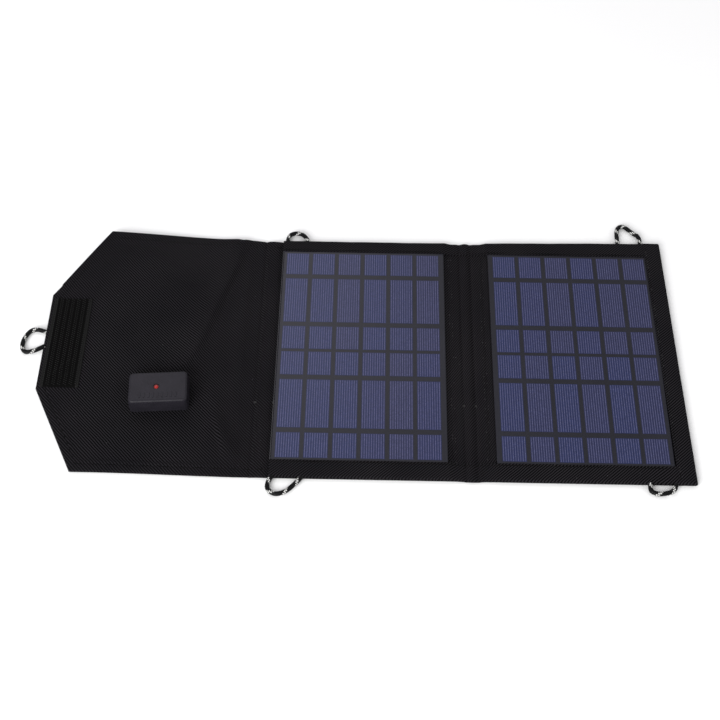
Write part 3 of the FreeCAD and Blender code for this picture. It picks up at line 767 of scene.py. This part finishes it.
def make_cloth():
    """The four cloth pieces, cut in the middle of each spine."""
    corners = [FLAP_CORNER_REAR_X, FLAP_CORNER_FRONT_X]
    flap = cloth("flap_cloth", spread(TIP_X, FLAP_MIDDLE, 2.2, near_edge(TIP_X, 1) + corners
                                      + blend_columns(FLAP_LEFT)),
                 flap_top, flap_bottom, TWILL_FLAP, (False, True))
    bend(flap, "flap_spine", "flap", FLAP_LEFT, -1)
    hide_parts("flap_back_cloth", "flap_interlining", "flap_front_cloth")

    hinge = cloth("flap_hinge_cloth", spread(FLAP_MIDDLE, CLOTH_SEAM_X, 1.6, blend_columns(FLAP_RIGHT)),
                  hinge_top, flap_bottom, TWILL_FLAP, (True, True))
    bend(hinge, "panel_1", "flap_spine", FLAP_RIGHT, -1)
    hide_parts("flap_spine_back_cloth", "flap_spine_front_cloth")

    panel_1 = cloth("panel_1_cloth", spread(CLOTH_SEAM_X, FOLD_MIDDLE, 3.0,
                                            blend_columns(FOLD_LEFT) + blend_columns(PANEL_1_SEAM)),
                    panel_1_top, panel_bottom, TWILL_PANEL, (True, True))
    bend(panel_1, "panel_1", "fold_spine", FOLD_LEFT)
    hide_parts("panel_1_back_cover", "panel_1_front_cloth", "fold_spine_back_cloth")

    panel_2 = cloth("panel_2_cloth", spread(FOLD_MIDDLE, SIDE_X, 3.0, blend_columns(FOLD_RIGHT)
                                            + blend_columns(PANEL_2_SEAM) + near_edge(SIDE_X, -1)),
                    panel_2_top, panel_2_bottom, TWILL_PANEL, (True, False))
    lean_end(panel_2)
    bend(panel_2, "fold_spine", "panel_2", FOLD_RIGHT)
    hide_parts("panel_2_back_cover", "panel_2_front_cloth", "fold_spine_front_cloth")
    return flap, hinge


# ---- hem bands ----------------------------------------------------------------------------------------
def band_height(x):
    """Height of a hem band's face along the charger: it drops to the spine beside the laminates."""
    on_panel = max(1 - smooth_step((x - LAMINATE_RIGHT - 0.5) / 6),
                   smooth_step((x - LAMINATE_LEFT + 6.5) / 6))
    ridge = 0.9 * math.exp(-((x - FOLD_MIDDLE) / 2.6) ** 2)
    dips = crease(x, FOLD_LEFT, 0.8) + crease(x, FOLD_RIGHT, 0.8)
    return (SPINE_BAND_TOP + (BAND_TOP - SPINE_BAND_TOP) * float(on_panel)
            + float(dips) * (1 - float(on_panel)) + ridge)


def band_floor(x):
    """Height of what a band lies on."""
    over_laminate = x < LAMINATE_RIGHT + 0.3 or x > LAMINATE_LEFT - 0.3
    return FILM_TOP + 0.02 if over_laminate else None


def band_profile(inner, outer, height, floor):
    """A hem band's cross-section, from its underside at the inner edge round to the outer edge."""
    side = 1 if outer > inner else -1
    width = abs(outer - inner)
    base = floor if floor is not None else height - 1.1
    top = height
    shape = [
        (0.45, base), (0.0, base + 0.22), (0.0, top - 0.24), (0.22, top - 0.03), (0.7, top + 0.02),
        (1.25, top - 0.05), (1.7, top - 0.26), (2.15, top - 0.05), (2.9, top), (width * 0.5, top - 0.18),
        (width - 2.6, top - 0.10), (width - 1.3, top - 0.28), (width - 0.5, top - 0.75),
        (width + 0.05, top - 1.5), (width + 0.2, top * 0.42), (width + 0.05, 0.9), (width - 0.35, 0.35),
        (width - 0.9, 0.35), (width - 1.2, 1.2), (4.2, base - 0.9), (3.2, base - 0.3),
    ]
    return [(inner + side * across, z) for across, z in shape]


def hem_band(name, columns, inner, outer_edge):
    rings = []
    for x in columns:
        wave = 0.10 * math.sin(x / 9.0) + 0.06 * math.sin(x / 3.7 + 1.0)
        profile = band_profile(inner, outer_edge(x), band_height(x) + wave, band_floor(x))
        rings.append([(x, y, z) for y, z in profile])
    vertices, faces = bridge(rings)
    obj = add_object(name, vertices, faces, [TWILL_BAND])
    clean(obj, 50)
    lay_uv(obj)
    return obj


def make_bands():
    beside_1 = [LAMINATE_RIGHT + d for d in (0.2, 0.4, 1.0)]
    beside_2 = [LAMINATE_LEFT - d for d in (0.2, 0.4, 1.0)]
    columns_1 = spread(SEAM_X, FOLD_MIDDLE, 2.5, beside_1 + blend_columns(FOLD_LEFT))
    columns_2 = spread(FOLD_MIDDLE, SIDE_BAND_X + 2.5, 2.5, beside_2 + blend_columns(FOLD_RIGHT))
    for where, inner, edge in (("rear", BAND_INNER_REAR, rear_edge), ("front", BAND_INNER_FRONT, front_edge)):
        first = hem_band("panel_1_" + where + "_hem", columns_1, inner, edge)
        bend(first, "panel_1", "fold_spine", FOLD_LEFT)
        second = hem_band("panel_2_" + where + "_hem", columns_2, inner, edge)
        lean_end(second)
        bend(second, "fold_spine", "panel_2", FOLD_RIGHT)
        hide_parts("panel_1_" + where + "_band")
        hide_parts("panel_2_" + where + "_band")

    rings = []
    rows = rows_between(front_edge(SIDE_X), rear_edge(SIDE_X), 2.5)
    for y in rows:
        end = min(y - rows[0], rows[-1] - y)
        height = BAND_TOP + 0.35 + 0.08 * math.sin(y / 8.0)
        drop = 1.0 - math.sqrt(max(0, 1 - (1 - min(1, end / 1.2)) ** 2))
        middle = 2.2
        floor = BAND_TOP - 0.25 if end < 12 else FILM_TOP + 0.02
        profile = band_profile(SIDE_BAND_X, SIDE_X + 0.6, height, floor)
        rings.append([(x, y, z + (middle - z) * drop) for x, z in profile])
    vertices, faces = bridge(rings)
    side = add_object("panel_2_side_hem", vertices, faces, [TWILL_BAND])
    clean(side, 50)
    lay_uv(side)
    lean_end(side)
    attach(side, "panel_2")
    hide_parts("panel_2_side_band")


# ---- laminates ----------------------------------------------------------------------------------------
def plate(x0, x1, y0, y1, z0, z1, bevel):
    """A thin plate with softened top edges, as rings from its bottom to its middle."""
    rings = []
    for inset, z in ((0, z0), (0, z1 - bevel), (bevel * 0.3, z1 - bevel * 0.3), (bevel, z1)):
        rings.append([(x0 + inset, y0 + inset, z), (x1 - inset, y0 + inset, z),
                      (x1 - inset, y1 - inset, z), (x0 + inset, y1 - inset, z)])
    return bridge(rings)


def join_parts(parts):
    """Joins (vertices, faces, material index) parts into one list of each."""
    vertices, faces, indices = [], [], []
    for part_vertices, part_faces, index in parts:
        base = len(vertices)
        vertices += part_vertices
        faces += [tuple(base + i for i in face) for face in part_faces]
        indices += [index] * len(part_faces)
    return vertices, faces, indices


def cell_segments(cell_length):
    """Where a cell shows between its two ribbons, as distances from its front end."""
    first, second = (place * cell_length for place in RIBBON_AT)
    half = RIBBON_WIDTH / 2
    return [(0, first - half), (first + half, second - half), (second + half, cell_length)]


def make_laminate(body):
    low, high = node_box(body + "_backing_board")
    corner = 1.6
    rings = []
    outline = []
    for cx, cy, start in ((high.x - corner, high.y - corner, 0), (low.x + corner, high.y - corner, 90),
                          (low.x + corner, low.y + corner, 180), (high.x - corner, low.y + corner, 270)):
        for k in range(6):
            angle = math.radians(start + k * 18)
            outline.append((cx, cy, math.cos(angle), math.sin(angle)))
    for radius, z in ((corner, low.z), (corner, FILM_TOP - 0.3), (corner - 0.1, FILM_TOP - 0.1),
                      (corner - 0.32, FILM_TOP)):
        rings.append([(cx + c * radius, cy + s * radius, z) for cx, cy, c, s in outline])
    vertices, faces = bridge(rings)
    face = clean(add_object(body + "_laminate", vertices, faces, [FILM], smooth=False))
    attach(face, body)
    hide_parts(body + "_backing_board", body + "_front_film")

    first, last = node_box(body + "_cells")
    pitch = (last.x - first.x + CELL_GAP) / CELL_COLUMNS
    width = pitch - CELL_GAP
    length = (last.y - first.y - CELL_ROW_GAP) / CELL_ROWS
    cells, fingers, ribbons = [], [], []
    generator = random.Random(body)
    for row in range(CELL_ROWS):
        y0 = first.y + row * (length + CELL_ROW_GAP)
        for column in range(CELL_COLUMNS):
            x0 = first.x + column * pitch + generator.uniform(-0.12, 0.12)
            tone = generator.randrange(len(CELLS))
            for start, end in cell_segments(length):
                cells.append((*plate(x0, x0 + width, y0 + start, y0 + end, FILM_TOP - 0.2, FILM_TOP + 0.05,
                                     0.05), tone))
                for k in range(FINGERS):
                    x = x0 + width * (k + 0.5) / FINGERS
                    fingers.append((*plate(x - 0.17, x + 0.17, y0 + start + 0.35, y0 + end - 0.35,
                                           FILM_TOP, FILM_TOP + 0.065, 0.01), 0))
            for place in RIBBON_AT:
                y = y0 + place * length
                front, rear = y - RIBBON_WIDTH / 2 + 0.15, y + RIBBON_WIDTH / 2 - 0.15
                strip = plate(x0, x0 + width, front, rear, FILM_TOP - 0.2, FILM_TOP + 0.02, 0.02)
                ribbons.append((*strip, 0))
    vertices, faces, tones = join_parts(cells)
    cell_piece = add_object(body + "_cell_faces", vertices, faces, CELLS, False, tones)
    vertices, faces, _ = join_parts(fingers)
    finger_piece = add_object(body + "_cell_fingers", vertices, faces, [FINGER], False)
    vertices, faces, _ = join_parts(ribbons)
    ribbon_piece = add_object(body + "_ribbon_strips", vertices, faces, [FILM], False)
    for piece in (cell_piece, finger_piece, ribbon_piece):
        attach(piece, body)
    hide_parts(body + "_cells")
    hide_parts(body + "_ribbons")


# ---- stitching ----------------------------------------------------------------------------------------
def stitch(start, end, radius, sag=0.5):
    """One stitch: a short thread that dives into the cloth at both ends."""
    a, b = Vector(start), Vector(end)
    along = (b - a).normalized()
    side = along.cross(Vector((0, 0, 1))).normalized()
    up = side.cross(along)
    rings = []
    for t, size, drop in ((0.0, 0.35, 1.0), (0.16, 0.85, 0.25), (0.5, 1.0, 0.0), (0.84, 0.85, 0.25),
                          (1.0, 0.35, 1.0)):
        centre = a.lerp(b, t) - Vector((0, 0, sag * drop))
        ring = []
        for k in range(6):
            angle = k * math.pi / 3
            ring.append(tuple(centre + (side * math.cos(angle) + up * math.sin(angle)) * radius * size))
        rings.append(ring)
    return bridge(rings)


def stitch_row(points, surface, pitch=3.1, fill=0.62, radius=0.2, glint_share=0.0):
    """Stitches along a line of (x, y) points, lying on surface(x, y); glint_share of them catch the light."""
    parts = []
    generator = random.Random(str(points[0]))
    for (ax, ay), (bx, by) in zip(points, points[1:]):
        length = math.hypot(bx - ax, by - ay)
        count = max(1, round(length / pitch))
        for i in range(count):
            t0 = (i + (1 - fill) / 2) / count
            t1 = (i + (1 + fill) / 2) / count
            x0, y0 = ax + (bx - ax) * t0, ay + (by - ay) * t0
            x1, y1 = ax + (bx - ax) * t1, ay + (by - ay) * t1
            thread_index = 1 if generator.random() < glint_share else 0
            start, end = (x0, y0, surface(x0, y0)), (x1, y1, surface(x1, y1))
            parts.append((*stitch(start, end, radius), thread_index))
    return parts


def stitch_piece(name, parts, materials):
    vertices, faces, indices = join_parts(parts)
    obj = add_object(name, vertices, faces, materials, True, indices)
    return obj


def at(function, x, y):
    """A height function's value at one point, well inside the edge."""
    return float(function(np.array([[x]]), np.array([[y]]), np.array([[HEM_STITCH]]))[0, 0])


def inset_line(a, b, inset):
    """The segment from a to b, moved inset millimetres to its left."""
    dx, dy = b[0] - a[0], b[1] - a[1]
    length = math.hypot(dx, dy)
    off = (-dy / length * inset, dx / length * inset)
    return (a[0] + off[0], a[1] + off[1]), (b[0] + off[0], b[1] + off[1])


def make_stitches():
    corner_rear = (FLAP_CORNER_REAR_X, rear_edge(FLAP_CORNER_REAR_X))
    corner_front = (FLAP_CORNER_FRONT_X, front_edge(FLAP_CORNER_FRONT_X))
    ends = [
        inset_line((FLAP_MIDDLE, rear_edge(FLAP_MIDDLE)), corner_rear, HEM_STITCH),
        inset_line(corner_rear, (TIP_X, TIP_REAR), HEM_STITCH),
        inset_line((TIP_X, TIP_FRONT), corner_front, HEM_STITCH),
        inset_line(corner_front, (FLAP_MIDDLE, front_edge(FLAP_MIDDLE)), HEM_STITCH),
    ]
    parts = []
    # The hem's stitches are real black thread, drawn thick and close-set so that they also paint the shade of
    # the stitched groove as a dark line.
    for a, b in ends:
        parts += stitch_row([a, b], lambda x, y: at(flap_top, x, y) + 0.10, fill=0.8, radius=0.3)
    flap = stitch_piece("flap_stitches", parts, [THREAD_BLACK])
    bend(flap, "flap_spine", "flap", FLAP_LEFT, -1)

    parts = []
    # These hem stitches too are drawn thick and close-set, painting the groove's shade as a dark line.
    for y in (rear_edge(FLAP_RIGHT) - HEM_STITCH, front_edge(FLAP_RIGHT) + HEM_STITCH):
        parts += stitch_row([(FLAP_MIDDLE, y), (SEAM_X - 0.5, y)], lambda x, y: at(hinge_top, x, y) + 0.10,
                            fill=0.8, radius=0.3)
    for x in (SEAM_X - 2.6, FLAP_RIGHT + 2.4):
        parts += stitch_row([(x, -HALF_WIDTH + 2), (x, HALF_WIDTH - 2)],
                            lambda x, y: at(hinge_top, x, y) + 0.06, 2.8)
    hinge = stitch_piece("flap_hinge_stitches", parts, [THREAD_BLACK])
    bend(hinge, "panel_1", "flap_spine", FLAP_RIGHT, -1)

    rows = {
        "panel_1": (SEAM_X + 1.2, FOLD_MIDDLE, PANEL_1_SEAM, panel_1_top,
                    ("panel_1", "fold_spine", FOLD_LEFT)),
        "panel_2": (FOLD_MIDDLE, SIDE_BAND_X, PANEL_2_SEAM, panel_2_top,
                    ("fold_spine", "panel_2", FOLD_RIGHT)),
    }
    for body, (x0, x1, seam, surface, joint) in rows.items():
        parts = []
        for inner, side in ((BAND_INNER_REAR, 1), (BAND_INNER_FRONT, -1)):
            y = inner + 1.7 * side
            parts += stitch_row([(x0, y), (x1, y)], lambda x, y: band_height(x) - 0.08, 2.6, 0.8, 0.26)
        # Some of the seam's stitches get the lighter thread: painted glints.
        for shift in (0.0, 2.2):
            x = seam + shift * (1 if body == "panel_1" else -1)
            parts += stitch_row([(x, BAND_INNER_FRONT), (x, BAND_INNER_REAR)],
                                lambda x, y: at(surface, x, y) + 0.1, 2.9, 0.45,
                                glint_share=0.22)
        piece = stitch_piece(body + "_stitches", parts, SEAM_THREADS)
        bend(piece, *joint)
    # Some of these stitches get the lighter thread: painted glints.
    parts = stitch_row([(SIDE_BAND_X + 1.7, front_edge(240) + 2), (SIDE_BAND_X + 1.7, rear_edge(240) - 2)],
                       lambda x, y: BAND_TOP + 0.24, 3.2, 0.4, glint_share=0.3)
    piece = stitch_piece("panel_2_side_stitches", parts, SEAM_THREADS)
    lean_end(piece)
    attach(piece, "panel_2")


# ---- hook patch and loop patch ------------------------------------------------------------------------
def hook(x, y, z, lean):
    """One woven hook: a short bent monofilament."""
    rings = []
    for k in range(6):
        angle = math.radians(-10 + k * 42)
        px = x + lean * (0.42 - 0.42 * math.cos(angle))
        pz = z + 0.55 + 0.42 * math.sin(angle) if k else z - 0.1
        ring = []
        for i in range(4):
            turn = i * math.pi / 2
            across, up = HOOK_RADIUS * math.sin(turn), HOOK_RADIUS * math.cos(turn)
            ring.append((px + up * math.sin(angle + 0.3), y + across, pz + up * math.cos(angle)))
        rings.append(ring)
    return bridge(rings)


def make_hook_patch():
    low, high = node_box("flap_hook_patch")
    columns = [low.x + (high.x - low.x) * i / 22 for i in range(23)]
    rows = [low.y + (high.y - low.y) * j / 56 for j in range(57)]

    def surface(x, y):
        ground = at(flap_top, x, y)
        wrinkle = float(fold(np.array(x), np.array(y), [(-240, -32), (-226, -16), (-215, -8)], 1.1, 1.2, 3.5))
        edge = min(x - low.x, high.x - x, y - low.y, high.y - y)
        return ground + 0.15 + 0.75 * math.sqrt(max(0, 1 - (1 - min(1, max(0, edge) / 0.7)) ** 2)) + wrinkle

    near = [0.0, 0.12, 0.35, 0.7]
    near_side = near + [HOOK_SELVEDGE_WIDTH]
    columns = sorted(set(columns) | {low.x + d for d in near_side} | {high.x - d for d in near_side})
    rows = sorted(set(rows) | {low.y + d for d in near} | {high.y - d for d in near})
    rings = []
    for x in columns:
        top = [(x, y, surface(x, y)) for y in rows]
        bottom = [(x, y, at(flap_top, x, y) - 0.1) for y in reversed(rows)]
        rings.append(top + bottom)
    vertices, faces = bridge(rings, caps=False)
    count = len(rows)
    for base in (0, (len(columns) - 1) * 2 * count):
        for j in range(count - 1):
            faces.append((base + j, base + j + 1, base + 2 * count - 2 - j, base + 2 * count - 1 - j))
    across = [vertices[face[0]][0] - low.x for face in faces]
    is_ground = [int(HOOK_SELVEDGE_WIDTH <= x < high.x - low.x - HOOK_SELVEDGE_WIDTH) for x in across]
    base_piece = add_object("hook_tape", vertices, faces, [HOOK_SELVEDGE, HOOK_GROUND], True, is_ground)
    clean(base_piece, 50)
    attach(base_piece, "flap")
    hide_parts("flap_hook_patch")

    hooks = []
    pitch_x, pitch_y = HOOK_PITCH
    count_x = int((high.x - low.x - 2 * HOOK_SELVEDGE_WIDTH) / pitch_x)
    count_y = int((high.y - low.y - 3) / pitch_y)
    for i in range(count_x + 1):
        for j in range(count_y + 1):
            x = low.x + HOOK_SELVEDGE_WIDTH + i * pitch_x + 0.2
            y = low.y + 1.6 + (j + 0.5 * (i % 2)) * pitch_y
            if y < high.y - 1.2:
                hooks.append((*hook(x, y, surface(x, y), 1 if i % 2 else -1), 0))
    vertices, faces, _ = join_parts(hooks)
    hook_piece = add_object("hook_field", vertices, faces, [HOOK_YARN])
    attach(hook_piece, "flap")
    inset = 1.4
    corners = [(low.x + inset, low.y + inset), (high.x - inset, low.y + inset),
               (high.x - inset, high.y - inset), (low.x + inset, high.y - inset)]
    parts = stitch_row(corners + corners[:1], lambda x, y: surface(x, y) + 0.02)
    seam = stitch_piece("hook_tape_stitches", parts, [THREAD_BLACK])
    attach(seam, "flap")


def make_loop_patch():
    low, high = node_box("panel_2_loop_patch")
    rings = []
    for inset, z in ((0.0, 0.95), (0.0, 0.35), (0.15, 0.12), (0.6, 0.02)):
        rings.append([(low.x + inset, low.y + inset, z), (high.x - inset, low.y + inset, z),
                      (high.x - inset, high.y - inset, z), (low.x + inset, high.y - inset, z)])
    vertices, faces = bridge(rings)
    patch = clean(add_object("loop_tape", vertices, faces, [LOOP_TAPE], smooth=False))
    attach(patch, "panel_2")
    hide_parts("panel_2_loop_patch")


# ---- cords --------------------------------------------------------------------------------------------
STRANDS = 8                    # strands each way round the braid
BRAID_PITCH = 11.0             # length in which a strand goes once round


def route_line(name, route):
    """Points along the smooth line through a cord's route, closely and evenly spaced."""
    data = bpy.data.curves.new(name + "_route", "CURVE")
    data.dimensions = "3D"
    data.resolution_u = 24
    spline = data.splines.new("NURBS")
    spline.points.add(len(route) - 1)
    for point, place in zip(spline.points, route):
        point.co = (*(c * MM for c in place), 1)
    spline.order_u = 3
    spline.use_endpoint_u = True
    obj = bpy.data.objects.new(name + "_route", data)
    bpy.context.scene.collection.objects.link(obj)
    bpy.context.view_layer.update()
    mesh = bpy.data.meshes.new_from_object(obj)
    raw = np.array([v.co for v in mesh.vertices]) / MM
    bpy.data.objects.remove(obj)
    bpy.data.meshes.remove(mesh)
    steps = np.linalg.norm(np.diff(raw, axis=0), axis=1)
    run = np.concatenate([[0], np.cumsum(steps)])
    count = int(run[-1] / 0.34)
    even = np.linspace(0, run[-1], count + 1)
    return np.stack([np.interp(even, run, raw[:, k]) for k in range(3)], axis=1)


def make_cord(name, route, body):
    """A braided cord: diamonds of crossing strands round a tube, with two white tracer strands."""
    line = route_line(name, route)
    tangents = np.gradient(line, axis=0)
    tangents /= np.linalg.norm(tangents, axis=1)[:, None]
    around = 64
    vertices, faces, indices = [], [], []
    run = 0.0
    for i, (centre, tangent) in enumerate(zip(line, tangents)):
        if i:
            run += float(np.linalg.norm(line[i] - line[i - 1]))
        side = np.cross(tangent, (0, 0, 1))
        side /= np.linalg.norm(side)
        up = np.cross(side, tangent)
        for k in range(around):
            turn = k / around
            one_way = (turn - run / BRAID_PITCH) * STRANDS
            other_way = (turn + run / BRAID_PITCH) * STRANDS
            u = one_way - math.floor(one_way)
            v = other_way - math.floor(other_way)
            pillow = (math.sin(math.pi * u) * math.sin(math.pi * v)) ** 0.5
            radius = CORD / 2 * (0.86 + 0.14 * pillow)
            angle = 2 * math.pi * turn
            place = centre + (side * math.cos(angle) + up * math.sin(angle)) * radius
            vertices.append(tuple(place))
            if i < len(line) - 1:
                strand = math.floor(one_way + 0.01) % STRANDS
                crossing = math.floor(other_way + 0.01)
                is_white = strand in TRACER_STRANDS and (crossing + math.floor(one_way + 0.01)) % 2 == 0
                next_k = (k + 1) % around
                faces.append((i * around + k, i * around + next_k, (i + 1) * around + next_k,
                              (i + 1) * around + k))
                indices.append(1 if is_white else 0)
    faces.append(tuple(range(around)))
    faces.append(tuple((len(line) - 1) * around + k for k in reversed(range(around))))
    indices += [0, 0]
    obj = add_object(name + "_braid", vertices, faces, [CORD_BLACK, CORD_WHITE], True, indices)
    clean(obj)
    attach(obj, body)
    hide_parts(name)


def make_cords():
    for name, route in CORD_ROUTES.items():
        body = name.split("_cord_loop")[0]
        make_cord(name, route, body)


# ---- lamp ---------------------------------------------------------------------------------------------
def make_lamp():
    """The red lamp's domed lens in the lid."""
    low, high = node_box("status_lamp")
    centre = ((low.x + high.x) / 2, (low.y + high.y) / 2)
    radius = (high.x - low.x) / 2
    rings = []
    for scale, z in ((1.0, high.z - 3.3), (1.0, high.z - 0.9), (0.95, high.z - 0.7), (0.70, high.z - 0.75),
                     (0.66, high.z - 0.40), (0.52, high.z - 0.14), (0.28, high.z - 0.02)):
        rings.append([(centre[0] + radius * scale * math.cos(2 * math.pi * k / 32),
                       centre[1] + radius * scale * math.sin(2 * math.pi * k / 32), z) for k in range(32)])
    vertices, faces = bridge(rings)
    out = [math.hypot(x - centre[0], y - centre[1]) for x, y, _ in vertices]
    is_dome = [int(max(out[i] for i in face) < 0.75 * radius) for face in faces]
    lens = clean(add_object("lamp_lens", vertices, faces, [LENS_RIM, LENS], True, is_dome), 50)
    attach(lens, "flap")
    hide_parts("status_lamp")


# ---- stage --------------------------------------------------------------------------------------------
CAMERA_LENS = 64.25
CAMERA_PLACE = (7.8, -567.0, 822.8)
CAMERA_AHEAD = (-0.0069, 0.5642, -0.8256)
CAMERA_RIGHT = (0.9998, 0.0189, 0.0045)
FLOOR_HALF = 3000.0
FLOOR_Z = -0.3                 # a little under the charger, so that nothing lies in the floor


def make_camera():
    data = bpy.data.cameras.new("camera")
    camera = bpy.data.objects.new("camera", data)
    bpy.context.scene.collection.objects.link(camera)
    bpy.context.scene.camera = camera
    data.sensor_width = 36.0
    data.lens = CAMERA_LENS
    data.clip_start = 0.01
    ahead = Vector(CAMERA_AHEAD).normalized()
    right = Vector(CAMERA_RIGHT)
    right = (right - ahead * right.dot(ahead)).normalized()
    up = right.cross(ahead)
    place = Vector(CAMERA_PLACE) * MM
    camera.matrix_world = Matrix((
        (right.x, up.x, -ahead.x, place.x),
        (right.y, up.y, -ahead.y, place.y),
        (right.z, up.z, -ahead.z, place.z),
        (0, 0, 0, 1)))


def area_light(name, place, target, size, watts, colour=(1, 1, 1)):
    data = bpy.data.lights.new(name, "AREA")
    data.shape = "RECTANGLE"
    data.size, data.size_y = size
    data.energy = watts
    data.color = colour
    light = bpy.data.objects.new(name, data)
    bpy.context.scene.collection.objects.link(light)
    light.location = place
    light.rotation_euler = (Vector(target) - Vector(place)).to_track_quat("-Z", "Y").to_euler()


def make_stage():
    scene = bpy.context.scene
    scene.view_settings.view_transform = "Standard"
    world = bpy.data.worlds.new("studio")
    scene.world = world
    world.use_nodes = True
    background = world.node_tree.nodes["Background"]
    background.inputs["Color"].default_value = (1, 1, 1, 1)
    background.inputs["Strength"].default_value = 0.6
    nodes = Nodes("floor")
    nodes.colour(nodes.ramp(nodes.noise(300), [(0.2, grey(0.93)), (0.8, grey(0.96))]))
    nodes.set(Roughness=0.9, Specular_IOR_Level=0.1)
    corners = [(x * FLOOR_HALF, y * FLOOR_HALF, FLOOR_Z) for x, y in ((-1, -1), (1, -1), (1, 1), (-1, 1))]
    floor = add_object("floor", corners, [(0, 1, 2, 3)], [nodes.material], smooth=False)
    area_light("key", (-0.8, -1.4, 0.95), (0, 0, 0), (1.4, 1.0), 36)
    area_light("back", (-0.45, 1.05, 1.4), (-0.1, 0, 0), (1.0, 0.7), 4.5, (0.96, 0.93, 1.0))
    area_light("side", (1.3, -0.2, 0.9), (0, 0, 0), (0.8, 0.8), 3)


def main():
    finish_cad_nodes()
    make_camera()
    make_stage()
    make_cords()
    flap, hinge = make_cloth()
    make_bands()
    for body in ("panel_1", "panel_2"):
        make_laminate(body)
    make_stitches()
    make_hook_patch()
    make_loop_patch()
    make_lamp()


main()
